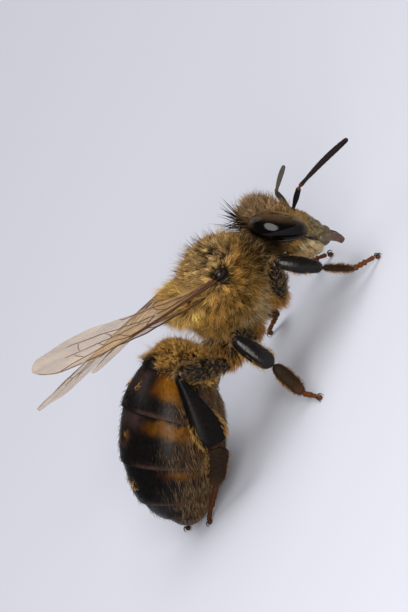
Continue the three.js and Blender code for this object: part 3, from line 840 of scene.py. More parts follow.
# (share, width, thickness) down each segment
SHAPES = {
    ("fore", "coxa"): [(0, 0.7, 0.66), (0.5, 0.75, 0.7), (1, 0.45, 0.42)],
    ("fore", "femur"): [
        (0, 0.34, 0.32), (0.12, 0.42, 0.36), (0.5, 0.7, 0.55), (0.85, 0.5, 0.42), (1, 0.36, 0.34),
    ],
    ("fore", "tibia"): [
        (0, 0.34, 0.32), (0.15, 0.5, 0.42), (0.55, 0.68, 0.52), (0.88, 0.5, 0.4), (1, 0.4, 0.34),
    ],
    ("fore", "basitarsus"): [(0, 0.2, 0.18), (0.3, 0.25, 0.22), (0.9, 0.22, 0.19), (1, 0.18, 0.16)],
    ("mid", "coxa"): [(0, 0.75, 0.7), (0.5, 0.8, 0.75), (1, 0.5, 0.46)],
    ("mid", "femur"): [
        (0, 0.36, 0.34), (0.15, 0.5, 0.4), (0.5, 0.72, 0.56), (0.85, 0.55, 0.44), (1, 0.42, 0.36),
    ],
    ("mid", "tibia"): [
        (0, 0.36, 0.34), (0.15, 0.55, 0.44), (0.6, 0.8, 0.56), (0.9, 0.66, 0.46), (1, 0.5, 0.38),
    ],
    ("mid", "basitarsus"): [
        (0, 0.3, 0.26), (0.15, 0.48, 0.34), (0.45, 0.6, 0.36), (0.85, 0.46, 0.3), (1, 0.28, 0.22),
    ],
    ("hind", "coxa"): [(0, 0.8, 0.75), (0.5, 0.85, 0.8), (1, 0.5, 0.46)],
    ("hind", "femur"): [
        (0, 0.4, 0.34), (0.15, 0.55, 0.42), (0.5, 0.84, 0.58), (0.85, 0.66, 0.46), (1, 0.46, 0.38),
    ],
    ("hind", "tibia"): [
        (0, 0.32, 0.3), (0.12, 0.44, 0.38), (0.35, 0.75, 0.44), (0.6, 1.12, 0.46),
        (0.8, 1.3, 0.46), (0.93, 1.05, 0.4), (1, 0.65, 0.3),
    ],
    ("hind", "basitarsus"): [
        (0, 0.55, 0.28), (0.1, 0.8, 0.34), (0.5, 0.86, 0.38), (0.85, 0.66, 0.34), (1, 0.36, 0.26),
    ],
}
BROWNING = {"fore": (0.8, 0.8), "mid": (1.0, 1.0), "hind": (0.7, 0.5)}  # basitarsus, from root to end
TOE_STEPS = (-0.03, 0.2, 0.4, 0.58, 0.94)  # where each toe joint starts between instep and toe
TOE = [(0, 0.19, 0.17), (0.6, 0.25, 0.2), (1, 0.27, 0.21)]
LAST_TOE = [(0, 0.16, 0.14), (0.7, 0.19, 0.17), (1, 0.22, 0.2)]


def segment_looks(pair, segment, t):
    """A leg segment's tint at the shares t along it, its paint and its slot."""
    if segment == "basitarsus":
        start, end = BROWNING[pair]
        return mix(DARK * start, BROWN * end, smooth(0.6, 1.0, t)), dull_paint, "brown_cuticle"
    if (pair, segment) == ("hind", "tibia"):
        return mix(BLACK, BROWN, smooth(0.95, 1.0, t) * 0.8), basket_paint, "black_cuticle"
    slot = "thorax_coat" if segment == "coxa" else "black_cuticle"
    return mix(BLACK * 1.3, BROWN, smooth(0.93, 1.0, t) * 0.8), leg_paint, slot


def add_foot(node, pair, instep, toe, face):
    """Four toe joints with a pad, and two hooked claws."""
    toes = []
    for k in range(4):
        a, b = mix(instep, toe, TOE_STEPS[k]), mix(instep, toe, TOE_STEPS[k + 1] + 0.03)
        toes.append(Limb(a, b, LAST_TOE if k == 3 else TOE, face, rows=10, sides=12).sheet)
    forward = unit([toe[0] - instep[0], toe[1] - instep[1], 0])
    sideways = np.cross([0, 0, 1.0], forward)
    toes.append(ball(toe + forward * 0.06 - [0, 0, 0.1], (0.13, 0.11, 0.1)))
    # The hind feet's toes are painted at half brightness: painted shade, for the shadow they stand in.
    rusty = np.array([0.10, 0.030, 0.008]) * (0.5 if pair == "hind" else 1.0)
    add_piece(f"{node}_toes", toes, dull_paint, rusty, "rusty_foot", node)
    claws = []
    for way in (-1, 1):
        root = toe + sideways * way * 0.06
        knots = [
            root,
            root + forward * 0.11 + sideways * way * 0.05 + [0, 0, 0.01],
            root + forward * 0.18 + sideways * way * 0.08 - [0, 0, 0.06],
            root + forward * 0.19 + sideways * way * 0.09 - [0, 0, 0.18],
        ]
        s = np.linspace(0, 1, 9)
        path = through([[k / 3, *point] for k, point in enumerate(knots)], s)
        claws.append(tube(path, 0.075 - 0.06 * s, 0.06 - 0.045 * s, sideways, sides=8))
    add_piece(f"{node}_claws", claws, leg_paint, BLACK, "black_cuticle")


leg_parts = {}
for (pair, name), joints in LEGS.items():
    face = np.array([0.1, SIDES[name], 0.15])
    for number, segment in enumerate(SEGMENTS):
        part = Limb(joints[number], joints[number + 1], SHAPES[pair, segment], face)
        leg_parts[pair, name, segment] = part
        tint, paint, slot = segment_looks(pair, segment, part.read(part.sheet.points)[0])
        node = f"leg_{pair}_{name}_{segment}"
        add_piece(f"{node}_skin", [part.sheet], paint, tint, slot, node)
    add_foot(f"leg_{pair}_{name}_foot", pair, np.array(joints[4]), np.array(joints[5]), face)

# ---------------------------------------------------------------- waist, feelers and mouth
neck_part = Limb((4.1, 0, 3.85), (5.4, 0, 3.6), [(0, 1.3, 1.5), (0.5, 1.1, 1.4), (1, 1.3, 1.5)])
add_piece("neck_skin", [neck_part.sheet], trunk_paint, BLACK, "thorax_coat")
waist = Limb((0.95, 0, 3.3), (-0.5, 0, 3.2), [(0, 0.8, 0.8), (0.45, 0.5, 0.5), (1, 0.7, 0.7)])
add_piece("waist_skin", [waist.sheet], trunk_paint, BLACK, "black_cuticle", "waist")

# socket, elbow and tip, tint, and how stout each is beside the right one
FEELERS = {
    "right": ((6.55, -0.37, 3.48), (7.48, -1.0, 3.98), (10.13, -1.3, 3.33), (0.009, 0.005, 0.004), 1.0),
    "left": ((6.58, 0.26, 3.4), (6.9, 1.4, 3.84), (8.02, 3.9, 3.2), (0.09, 0.072, 0.052), 0.85),
}
SCAPE = [(0, 0.2, 0.2), (0.1, 0.15, 0.15), (0.6, 0.25, 0.24), (1, 0.2, 0.2)]
FLAGELLUM = [(0, 0.13), (0.06, 0.18), (0.12, 0.16), (0.3, 0.205), (0.9, 0.22), (1, 0.18)]
FLAGELLUM_JOINTS = 11
for name, (*places, feeler_tint, stoutness) in FEELERS.items():
    socket, elbow, tip = np.array(places)
    feeler_tint = np.array(feeler_tint)
    scape = Limb(socket - unit(elbow - socket) * 0.1, elbow, SCAPE)
    t = scape.read(scape.sheet.points)[0]
    base = BLACK * 1.5 if name == "right" else feeler_tint * 0.3
    tint = mix(base, RUST, smooth(0.12, 0.02, t) + smooth(0.92, 1.0, t) * 0.7)
    node = f"antenna_{name}_scape"
    add_piece(f"{node}_skin", [scape.sheet], dull_paint, tint, "black_cuticle", node)
    bow = np.cross(unit(tip - elbow), [0, 1.0, 0]) * 0.06
    s = np.linspace(0, 1, FLAGELLUM_JOINTS * 8 + 1)
    path = mix(elbow, tip, s[:, None]) + bow * np.sin(s * math.pi)[:, None]
    notch = np.abs(np.mod(s * FLAGELLUM_JOINTS + 0.5, 1) - 0.5)
    girth = through(FLAGELLUM, s)[:, 0] * (1 - 0.07 * np.exp(-((notch / 0.08) ** 2))) * stoutness
    rusty = smooth(0.1, 0.0, s)[:, None] * 0.8 + smooth(0.95, 1, s)[:, None] * 0.5
    tint = mix(feeler_tint, RUST * 0.6, rusty)[:, None]
    node = f"antenna_{name}_flagellum"
    flagellum = tube(path, girth, girth, (0, 0, 1.0))
    add_piece(f"{node}_skin", [flagellum], dull_paint, tint, "black_cuticle", node)

# share along a mandible, and forward, out and up in the head
MANDIBLE = ((0, -0.02, 0.7, -1.6), (0.35, 0.12, 0.6, -2.0), (0.7, 0.2, 0.38, -2.45), (1, 0.1, 0.16, -2.8))
for name, side in SIDES.items():
    knots = [[share, *in_head([forward, side * out, up])] for share, forward, out, up in MANDIBLE]
    s = np.linspace(0, 1, 26)
    widths = through([(0, 0.4), (0.35, 0.32), (0.75, 0.34), (1, 0.24)], s)[:, 0]
    thick = through([(0, 0.34), (0.4, 0.24), (0.8, 0.2), (1, 0.12)], s)[:, 0]
    sheet = tube(through(knots, s), widths, thick, (0, side, 0.2))
    tint = mix((0.09, 0.07, 0.04), (0.10, 0.052, 0.040), smooth(0.25, 0.6, s)[:, None])[:, None]
    node = f"mandible_{name}"
    add_piece(f"{node}_skin", [sheet], leg_paint, tint, "brown_cuticle", node)
labrum = ball(in_head([0.1, 0, -1.98]), (0.2, 0.42, 0.32), head_way([0.3, 0, -1.0]), 14, 22)
add_piece("labrum_plate", [labrum], face_paint, (0.11, 0.085, 0.05), "brown_cuticle")
s = np.linspace(0, 1, 20)
TONGUE = ((0, -0.4, 0, -2.05), (0.5, -0.85, 0, -1.45), (1, -1.0, 0, -0.7))
path = through([[share, *in_head(place_in)] for share, *place_in in TONGUE], s)
tongue = tube(path, through([(0, 0.3), (0.5, 0.45), (1, 0.5)], s)[:, 0], 0.35, (1.0, 0, 0))
add_piece("proboscis_skin", [tongue], leg_paint, AMBER * 0.5, "amber_cuticle", "proboscis")

# ---------------------------------------------------------------- wings
T = FOREWING_LENGTH  # a short name for the tables
# outlines as knots of Bezier curves: how far out, and how far towards the leading edge
FORE_LEAD = [
    (0.35, 0.12), (0.3 * T, 0.22), (0.55 * T, 0.42), (0.78 * T, 0.42),
    (0.92 * T, 0.36), (T, -0.1), (T, -0.62),
]
FORE_TRAIL = [
    (0.35, -0.4), (0.15 * T, -0.55), (0.3 * T, -1.35), (0.46 * T, -2.05), (0.5 * T, -2.2),
    (0.54 * T, -2.5), (0.66 * T, -2.55), (0.84 * T, -2.5), (T, -1.5), (T, -0.62),
]
HIND_LEAD = [
    (0.55, -0.62), (0.15 * T, -0.75), (0.3 * T, -1.52), (0.45 * T, -2.17),
    (0.5 * T, -2.35), (0.54 * T, -2.62), (0.64 * T, -2.68),
]
HIND_TRAIL = [
    (0.55, -1.1), (0.2 * T, -2.5), (0.3 * T, -3.35), (0.48 * T, -3.4),
    (0.6 * T, -3.4), (0.68 * T, -3.1), (0.64 * T, -2.68),
]


def chain(knots, count):
    """Points down a chain of Bezier curves that share their end knots, closer at its ends."""
    knots = np.asarray(knots, float)
    t = np.linspace(0, 1, 60)[:, None]
    line = []
    for i in range(0, len(knots) - 1, 3):
        a, b, c, d = knots[i : i + 4]
        line.append(a * (1 - t) ** 3 + 3 * b * t * (1 - t) ** 2 + 3 * c * t**2 * (1 - t) + d * t**3)
    line = np.concatenate(line)
    run = run_along(line) + np.arange(len(line)) * 1e-9
    where = (1 - np.cos(np.linspace(0.03, 1, count) * math.pi)) / 2 * run[-1]
    return np.stack([np.interp(where, run, line[:, k]) for k in (0, 1)], -1)


class WingFrame:
    """Turns wing places (out, to the leading edge) into points, with the membrane's own folds."""

    def __init__(self, side_name, turn, drop):
        side = SIDES[side_name]
        out = unit(WING_AIM[side_name])
        level = unit(np.array([out[1], -out[0], 0])) * side
        upright = unit(np.array([0, 0, 1.0]) - out * out[2])
        slope = math.radians(ROOF_SLOPE[side_name])
        self.out, self.lead = out, unit(level * math.cos(slope) - upright * math.sin(slope))
        self.normal = np.cross(self.out, self.lead) * -side
        self.origin = TEGULA * [1, side, 1]
        self.turn, self.drop = math.radians(turn), drop
        self.bend = WING_BEND[side_name]
        self.twist = WING_TWIST[side_name]

    def folds(self, x, y):
        camber = -0.018 * (y + 0.6) ** 2 - 0.0022 * (x - 2) ** 2
        pleats = 0.03 * np.sin(y * 5.2 + x * 0.5) * smooth(0.2, 2.0, x) + 0.012 * np.sin(y * 11 - x * 1.9)
        return camber + pleats

    def point(self, x, y, height=0.0):
        c, s = math.cos(self.turn), math.sin(self.turn)
        x2, y2 = x * c - y * s, x * s + y * c
        twist = np.radians(self.twist[0] + (self.twist[1] - self.twist[0]) * x2 / T)
        z = self.folds(x, y) + height - self.drop + self.bend * (x2 / T) ** 2 + y2 * np.sin(twist)
        flat = np.multiply.outer(x2, self.out) + np.multiply.outer(y2 * np.cos(twist), self.lead)
        return self.origin + flat + np.multiply.outer(z, self.normal)


def membrane(wing, lead, trail, rows=120, columns=34, thickness=0.016):
    """A thin closed sheet between a wing's edges, and the flat places of its points."""
    front, back = chain(lead, rows), chain(trail, rows)
    t = (1 - np.cos(np.linspace(0, 1, columns) * math.pi)) / 2
    flat = front[:, None] * (1 - t)[None, :, None] + back[:, None] * t[None, :, None]
    half = thickness / 2 * np.sqrt(np.clip(1 - (2 * t - 1) ** 2, 0.02, 1)) ** 0.3
    top = wing.point(flat[..., 0], flat[..., 1], half[None])
    low = wing.point(flat[..., 0], flat[..., 1], -half[None])[:, ::-1]
    first, last = np.array(lead[0]) + np.array(trail[0]), np.array(lead[-1])
    ends = (wing.point(first[0] / 2 - 0.1, first[1] / 2), wing.point(last[0] + 0.01, last[1]))
    ring = np.concatenate([top, low[:, 1:-1]], 1)
    return Sheet(ring, ends), np.concatenate([flat, flat[:, ::-1][:, 1:-1]], 1)


def vein_path(line, step):
    """A vein's shares and places in mm, from places given as (share of the wing's length, y)."""
    line = np.asarray(line, float) * [T, 1]
    run = run_along(line)
    s = np.linspace(0, 1, max(int(run[-1] / step), 5))
    return s, through(np.column_stack([run / run[-1], line]), s)


def joined(lines, reach=0.45):
    """The veins' lines, with each end away from the root moved onto the nearest vein within reach."""
    lines = [np.array(line, float) for line in lines]
    for number, line in enumerate(lines):
        others = [vein_path(other, 0.02)[1] for k, other in enumerate(lines) if k != number]
        others = np.concatenate(others)
        for end in (0, -1):
            away = np.linalg.norm(others - line[end] * [T, 1], axis=1)
            if line[end, 0] > 0.1 and away.min() < reach:
                line[end] = others[away.argmin()] / [T, 1]
    return lines


def vein(wing, line, width):
    """A vein on a wing, with its widths from its root to its end."""
    s, path = vein_path(line, 0.12)
    points = wing.point(path[:, 0], path[:, 1])
    widths = np.interp(s, np.linspace(0, 1, len(width)), width)
    return tube(points, widths, widths * 0.75, wing.normal, sides=8)


# each vein's places as (share of the wing's length, y), and its widths
FORE_VEINS = [
    ([(0.03, 0.0), (0.1, 0.09), (0.25, 0.18), (0.4, 0.26), (0.52, 0.3)], (0.2, 0.17, 0.13, 0.12)),
    (
        [(0.04, 0.06), (0.12, 0.13), (0.25, 0.23), (0.4, 0.33), (0.55, 0.38), (0.7, 0.36), (0.8, 0.3)],
        (0.1, 0.08, 0.07),
    ),
    ([(0.8, 0.3), (0.9, 0.13), (0.97, -0.16), (0.995, -0.55)], (0.06, 0.045)),
    ([(0.49, 0.31), (0.53, 0.29), (0.56, 0.25)], (0.16, 0.2, 0.12)),
    ([(0.55, 0.28), (0.59, 0.04), (0.7, -0.05), (0.86, -0.03), (0.92, 0.07)], (0.07, 0.055, 0.05)),
    ([(0.03, -0.1), (0.15, -0.14), (0.27, -0.22), (0.36, -0.34)], (0.14, 0.11, 0.09)),
    ([(0.36, -0.34), (0.41, -0.05), (0.46, 0.25)], (0.07, 0.07)),
    ([(0.36, -0.3), (0.46, -0.75), (0.58, -1.2), (0.66, -1.7)], (0.08, 0.06, 0.05)),
    ([(0.03, -0.2), (0.14, -0.38), (0.3, -0.98), (0.44, -1.72), (0.455, -1.95)], (0.12, 0.08, 0.06)),
    ([(0.3, -0.2), (0.315, -0.6), (0.325, -1.07)], (0.06, 0.06)),
    ([(0.415, -0.08), (0.5, -0.42), (0.6, -0.52), (0.72, -0.8), (0.83, -0.85)], (0.06, 0.055, 0.045)),
    ([(0.53, 0.42), (0.555, 0.0), (0.565, -0.46)], (0.06, 0.05)),
    ([(0.65, 0.0), (0.66, -0.3), (0.655, -0.62)], (0.055, 0.05)),
    ([(0.77, -0.02), (0.79, -0.4), (0.775, -0.84)], (0.055, 0.05)),
    ([(0.6, -0.52), (0.575, -0.85), (0.585, -1.22)], (0.05, 0.05)),
    ([(0.745, -0.82), (0.73, -1.2), (0.7, -1.55)], (0.05, 0.045)),
    ([(0.585, -1.22), (0.64, -1.42), (0.7, -1.55), (0.76, -1.75)], (0.05, 0.04)),
]
HIND_VEINS = [
    (
        [(0.07, -0.68), (0.15, -0.82), (0.3, -1.5), (0.44, -2.12), (0.52, -2.5), (0.62, -2.68)],
        (0.12, 0.09, 0.06, 0.04),
    ),
    ([(0.07, -0.8), (0.2, -1.45), (0.32, -2.15), (0.45, -2.6), (0.56, -3.0)], (0.09, 0.06, 0.04)),
    ([(0.07, -0.95), (0.18, -1.9), (0.26, -2.7), (0.33, -3.25)], (0.08, 0.05, 0.04)),
    ([(0.32, -1.6), (0.33, -2.15)], (0.05, 0.05)),
    ([(0.24, -1.68), (0.22, -2.25)], (0.05, 0.05)),
]
FORE = (FORE_LEAD, FORE_TRAIL, FORE_VEINS)
HIND = (HIND_LEAD, HIND_TRAIL, HIND_VEINS)
# edges, veins, and how far each wing is turned back (degrees) and dropped (mm)
WINGS = {
    ("fore", "right"): (*FORE, 0, 0),
    ("fore", "left"): (*FORE, 0, 0),
    ("hind", "right"): (*HIND, 19, 0.55),
    ("hind", "left"): (*HIND, 0, 0),
}
for (pair, name), (lead, trail, veins, wing_turn, drop) in WINGS.items():
    wing = WingFrame(name, wing_turn, drop)
    sheet, flat = membrane(wing, lead, trail)
    amber = smooth(0.6 * T, 0.05 * T, flat[..., 0]) * 0.6 + 0.25 * smooth(-0.4, 0.6, flat[..., 1])
    tint = mix((0.58, 0.40, 0.22), (0.42, 0.20, 0.07), amber)
    node = f"wing_{pair}_{name}"
    add_piece(f"{node}_membrane", [sheet], wing_paint, tint, "wing_membrane", node)
    tubes = []
    for number, (line, (_, widths)) in enumerate(zip(joined([line for line, _ in veins]), veins)):
        tubes.append(vein(wing, line, np.array(widths) * (1 if number == 0 else 0.75)))
    add_piece(f"{node}_veins", tubes, dull_paint, (0.065, 0.028, 0.012), "brown_cuticle")

for name, side in SIDES.items():
    centre = TEGULA * [1, side, 1] + [0.02, -0.17 * side, 0.05]
    dome = ball(centre, (0.32, 0.24, 0.28), (0, side, 0.6), 18, 26)
    node = f"tegula_{name}"
    add_piece(f"{node}_dome", [dome], leg_paint, DARK * 0.5, "black_cuticle", node)

# ---------------------------------------------------------------- coats
def tinted(points, light, dark, seed, size=0.7):
    """Tip tints that drift between two colours over the body."""
    return mix(light, dark, smooth(-0.7, 0.7, waves(points, size, seed)) * 0.6)


# --- head
def head_zone(p):
    """How far forward, sideways and up in the head points are, and whether they are clear of the eyes."""
    q = head_axes(p)
    clear = np.ones(p.shape[:-1], bool)
    for side in SIDES.values():
        clear &= ((eye_axes(p, side) / EYE_HALF) ** 2).sum(-1) >= 1
    return q[..., 0], np.abs(q[..., 1]), q[..., 2], clear


def crown_density(p):
    f, out, u, clear = head_zone(p)
    front = smooth(-0.15, 0.2, f) * smooth(-0.75, -0.1, u)
    back = smooth(0.2, 0.9, u) * 0.8
    socket = smooth(0.2, 0.1, np.hypot(out - 0.32, u + 0.4))
    return (front + back) * clear * smooth(1.55, 1.15, out) * (1 - socket)


def face_density(p):
    f, out, u, clear = head_zone(p)
    side_face = smooth(-0.1, 0.2, f) * smooth(0.9, 0.0, u)
    clypeus = smooth(0.72, 0.6, from_clypeus(out, u)) * smooth(0, 0.3, f)
    return side_face * (1 - 0.85 * clypeus) * clear


def cheek_density(p):
    f, out, _, clear = head_zone(p)
    return smooth(0.0, -0.3, f) * smooth(0.2, 0.8, out) * clear


def chin_density(p):
    f, _, u, clear = head_zone(p)
    return smooth(0.0, -0.35, f) * smooth(-0.7, -1.3, u) * clear


def way_in_head(p, forward, out, up):
    """A direction in the head at each point, mirrored from side to side."""
    return head_way(sided(forward, out, up, np.sign(head_axes(p)[..., 1])))


head_long = Coat("head_fur", "head_coat", 3, 1)
head_short = Coat("face_fur", "head_coat", 2, 2)

places = head_skin.scatter(4200, head_long.rng, crown_density)
q = head_axes(places[0])
crown = smooth(-0.7, 0.9, q[:, 2])
back = smooth(0.2, -0.2, q[:, 0])
lie = mix(way_in_head(places[0], 0.5, 0, 0.6), way_in_head(places[0], -0.3, 0, 1), back)
light = mix(STRAW * 0.5, (0.36, 0.23, 0.12), crown)
tips = mix(light, DARK * 1.6, np.clip(back + 0.4 * waves(places[0], 0.4, 3), 0, 1) * 0.8)
uneven = head_long.rng.uniform(0.6, 1.25, len(crown)) * (1 + 0.25 * waves(places[0], 0.3, 4))
length = (0.13 + 0.38 * crown) * (1 - 0.3 * back) * uneven
head_long.add(
    places, lie, length * 0.95, 0.019, DARK * 0.4, tips * 1.05, (0.85, 0.7), 0.5, 12, 0.22, 0.12, 0.95,
)


def behind_crown(p):
    f, out, u, clear = head_zone(p)
    return smooth(0.75, 1.05, u) * smooth(0.1, -0.15, f) * clear * smooth(1.2, 0.8, out)


places = head_skin.scatter(44, head_long.rng, behind_crown)
lie = way_in_head(places[0], -0.3, 0, 1)
head_long.add(places, lie, 1.3, 0.045, BLACK, BLACK, (0.3, 0.4), 0.0, jitter=0.14)
places = head_skin.scatter(700, head_long.rng, crown_density)
length = 0.28 + 0.42 * smooth(-0.7, 0.9, head_axes(places[0])[:, 2])
lie = way_in_head(places[0], 0.2, 0, 0.9)
head_long.add(places, lie, length, 0.014, DARK, (0.30, 0.19, 0.09), (0.95, 0.8), 0.0, jitter=0.25)

places = head_skin.scatter(6500, head_short.rng, face_density)
low_face = smooth(-0.6, -1.3, head_axes(places[0])[:, 2])
tips = tinted(places[0], STRAW * [0.9, 0.95, 1.3], OLIVE * 1.3, 11, 0.4)
tips = mix(tips, (0.3, 0.25, 0.16), low_face * 0.7)
lie = way_in_head(places[0], 0.05, 0.25, -1)
length = 0.2 - 0.08 * low_face
head_short.add(places, lie, length, 0.02, OLIVE * 0.3, tips, (0.45, 0.2), 0.3, 10, 0.15, 0.1, 0.3)

places = head_skin.scatter(5200, head_short.rng, cheek_density)
lower = smooth(0.1, -0.7, head_axes(places[0])[:, 2])[:, None]
tips = mix(DARK * 1.2, tinted(places[0], STRAW * 0.6, OLIVE * 0.8, 12, 0.4), lower)
lie = way_in_head(places[0], -0.35, 0, -1)
head_short.add(places, lie, 0.24, 0.02, BLACK, tips, (0.45, 0.25), 0.45, 12, 0.15, 0.15, 0.5)

places = head_skin.scatter(1800, head_long.rng, chin_density)
tips = tinted(places[0], PALE * 0.8, STRAW * 0.8, 13)
lie = way_in_head(places[0], -0.5, 0, -1)
head_long.add(places, lie, 0.42, 0.02, OLIVE * 0.5, tips, (0.75, 0.4), 0.5, 12, 0.2, 0.2, 0.3)

# a pale line of hairs along the front and lower margins of each eye
for side in SIDES.values():
    around = np.linspace(-1.9, 1.2, 260)
    rim = np.stack([np.cos(around) * EYE_HALF[0], 0 * around, np.sin(around) * EYE_HALF[2]], -1) * 1.03
    far = np.full(len(rim), 0.9)
    inner = np.zeros(len(rim))
    for _ in range(16):
        middle = (far + inner) / 2
        out = outside(HEAD_PARTS, eye_place(rim + middle[:, None] * [0, 1.0, 0], side)) > 0
        far, inner = np.where(out, middle, far), np.where(out, inner, middle)
    roots = eye_place(rim + inner[:, None] * [0, 1.0, 0], side)
    rim_way = unit(eye_place(rim * [1.2, 1, 1.2], side) - eye_place(rim, side) + [0, side * 0.1, 0])
    uv = np.stack([around * 0.03 + 0.5, np.full_like(around, 0.5 + 0.2 * side)], -1)
    lie, tips = way_in_head(roots, 0.2, 0.3, -1), STRAW * [0.6, 0.65, 0.8]
    head_short.add((roots, rim_way, uv), lie, 0.13, 0.014, OLIVE * 0.6, tips, (0.5, 0.3), 0.0, jitter=0.3)
head_long.make()
head_short.make()

# --- thorax
BARE_SPOT = np.array([3.44, 0.65, 5.64])  # a small bare place on each shoulder


def thorax_density(p):
    left = np.abs(p * [0, 1, 0]) + p * [1, 0, 1]
    spot = np.linalg.norm(left - BARE_SPOT, axis=-1)
    tegula = np.linalg.norm(left - (TEGULA + [0.05, -0.1, 0.02]), axis=-1)
    return smooth(0.1, 0.42, spot) * smooth(0.28, 0.42, tegula)


thorax_coat = Coat("thorax_fur", "thorax_coat", 3, 3)
places = thorax_skin.scatter(38000, thorax_coat.rng, thorax_density)
p = places[0]
side = np.sign(p[:, 1])
height = smooth(4.9, 5.5, p[:, 2])
low = smooth(3.7, 3.1, p[:, 2])
rear = smooth(2.0, 1.0, p[:, 0])
away = unit(p - TEGULA * sided(1.0, 1.0, 1.0, side))
flank = unit(away + np.array([0.35, 0, -0.5]))
flank = mix(flank, sided(-0.8, 0.1, -0.6, side), smooth(4.5, 3.7, p[:, 2]) * 0.85)
top = sided(-0.45 - 0.4 * rear, 0.1, 0.4 - 0.2 * rear, side)
lie = mix(mix(flank, top, height), sided(-0.6, 0.1, -1.0, side), low)
swirl = np.stack([waves(p, 0.8, seed) for seed in (21, 22, 23)], -1)
lie = unit(lie + swirl * 0.4)
behind = smooth(1.3, 0.8, p[:, 0]) * smooth(5.4, 4.9, p[:, 2])
shield = smooth(2.1, 1.3, p[:, 0]) * smooth(4.9, 5.4, p[:, 2])
length = (0.56 + 0.16 * rear - 0.12 * height + 0.12 * low) * (1 - 0.5 * behind) + 0.26 * shield
length = length * (1 + 0.15 * waves(p, 0.6, 24)) * thorax_coat.rng.uniform(0.8, 1.15, len(p))
tips = tinted(p, STRAW * [0.72, 0.66, 0.5], TAN * 0.7, 25, 0.5)
tips = tips * (1 - 0.55 * smooth(5.1, 4.0, p[:, 2]))[:, None]
tips = mix(tips, (0.58, 0.40, 0.19), height * 0.75)
warm = smooth(3.0, 1.5, p[:, 0]) * smooth(4.5, 5.2, p[:, 2])
tips = mix(tips, (0.74, 0.43, 0.12), warm * 0.8)
tips = mix(tips, PALE * 0.8, low * 0.3)
# painted shade: hair tips darken low on the front of the thorax, where it meets the head
neck_shade = smooth(3.2, 3.9, p[:, 0]) * smooth(5.3, 4.6, p[:, 2])
tips = mix(tips, DARK * 1.5, neck_shade * 0.8)
roots = mix(DARK * 0.6, BROWN * 0.7, rear * height)
thorax_coat.add(places, lie, length, 0.021, roots, tips, (0.74, 0.45), 0.5, 14, 0.18, 0.3, 0.85)

# a few long hairs on the back, then fine stray ones all over
places = thorax_skin.scatter(260, thorax_coat.rng, lambda p: smooth(5.2, 5.6, p[..., 2]))
thorax_coat.add(places, (-0.4, 0, 0.4), 0.72, 0.022, DARK, BROWN, (0.9, 0.8), 0.0)
places = thorax_skin.scatter(3200, thorax_coat.rng, thorax_density)
p = places[0]
low = smooth(4.2, 3.2, p[:, 2])
lie = sided(-0.6, 0.15, 0.3 - 1.2 * low, np.sign(p[:, 1]))
tips = mix((0.62, 0.40, 0.17), PALE * 0.8, low)
length = thorax_coat.rng.uniform(0.55, 0.95, len(p)) + 0.15 * low
thorax_coat.add(places, lie, length, 0.014, BROWN, tips, (0.95, 0.7), 0.0, jitter=0.3, curl=0.15)
thorax_coat.make()

# --- abdomen
def on_abdomen(places):
    """Where hairs are: station down the abdomen, and turn from the back to the belly."""
    station = np.interp(places[3], np.arange(len(abdomen_row)), abdomen_row)
    around = places[2][:, 0] * 360
    return station, np.minimum(around, 360 - around)


def keep(places, chance, rng):
    """The places that a draw against their own chances leaves."""
    chosen = rng.random(len(places[0])) < chance
    return tuple(value[chosen] for value in places)


abdomen_long = Coat("waist_fur", "banded_cuticle", 3, 4)
abdomen_short = Coat("abdomen_fur", "banded_cuticle", 2, 5)
TAILWARD = unit(in_abdomen(1, 0) - in_abdomen(0, 0))

places = abdomen_skin.scatter(12000, abdomen_long.rng, lambda p: smooth(-2.6, -1.6, p[..., 0]))
station, turned = on_abdomen(places)
fade = station + 0.05 * waves(places[0], 0.5, 31) + 0.2 * smooth(50, 20, turned)
places = keep(places, smooth(1.06, 0.86, fade) * smooth(150, 110, turned), abdomen_long.rng)
length = 0.52 - 0.28 * smooth(-1.5, -0.8, places[0][:, 0])
tips = tinted(places[0], STRAW * 1.1, GOLD, 32)
lie = TAILWARD + [0, 0, 0.8]
abdomen_long.add(places, lie, length, 0.021, BROWN, tips, (0.8, 0.55), 0.45, 12, 0.22, 0.3, 0.45)
strays = tuple(value[::9] for value in places)
length = length[::9] + 0.28
lie = TAILWARD + [0, 0, 0.9]
abdomen_long.add(strays, lie, length, 0.014, BROWN, STRAW, (0.95, 0.7), 0.0, jitter=0.3, curl=0.15)

places = abdomen_skin.scatter(20000, abdomen_short.rng)
station, turned = on_abdomen(places)
plate_share = np.mod(station, 1)
flank = smooth(42, 88, turned + 14 * waves(places[0], 1.2, 33))
chance = (0.10 + 0.5 * flank) * smooth(0.75, 1.0, station)
chance = chance * (1 - 0.6 * smooth(0.42, 0.3, plate_share) * smooth(100, 80, turned))
places = keep(places, chance, abdomen_short.rng)
station, turned = on_abdomen(places)
flank = smooth(35, 85, turned)[:, None]
p = places[0]
side = np.sign(p[:, 1])[:, None]
lie = TAILWARD + side * np.array([0, 0.1, 0]) - flank * np.array([0, 0, 0.25])
tips = mix(BLACK * 2, tinted(p, (0.34, 0.22, 0.12), BROWN * 1.2, 34), flank)
roots = mix(BLACK, BROWN * 0.3, flank)
length = (0.24 + 0.14 * flank[:, 0]) * smooth(5.9, 4.9, station) * smooth(0.2, 0.9, p[:, 2])
abdomen_short.add(places, lie, length + 0.04, 0.015, roots, tips, (0.35, 0.15), 0.15, 8, 0.1)


def gold_patch(station_at, turn_at, spread, share, length):
    """A patch of golden hairs on the plates, on both sides of the back."""
    places = abdomen_skin.scatter(60000, abdomen_short.rng)
    station, turned = on_abdomen(places)
    near = np.exp(-(((station - station_at) / spread[0]) ** 2) - ((turned - turn_at) / spread[1]) ** 2)
    places = keep(places, near * share, abdomen_short.rng)
    abdomen_short.add(places, TAILWARD, length, 0.018, AMBER, STRAW, (0.4, 0.2), 0.3, 8, 0.2)


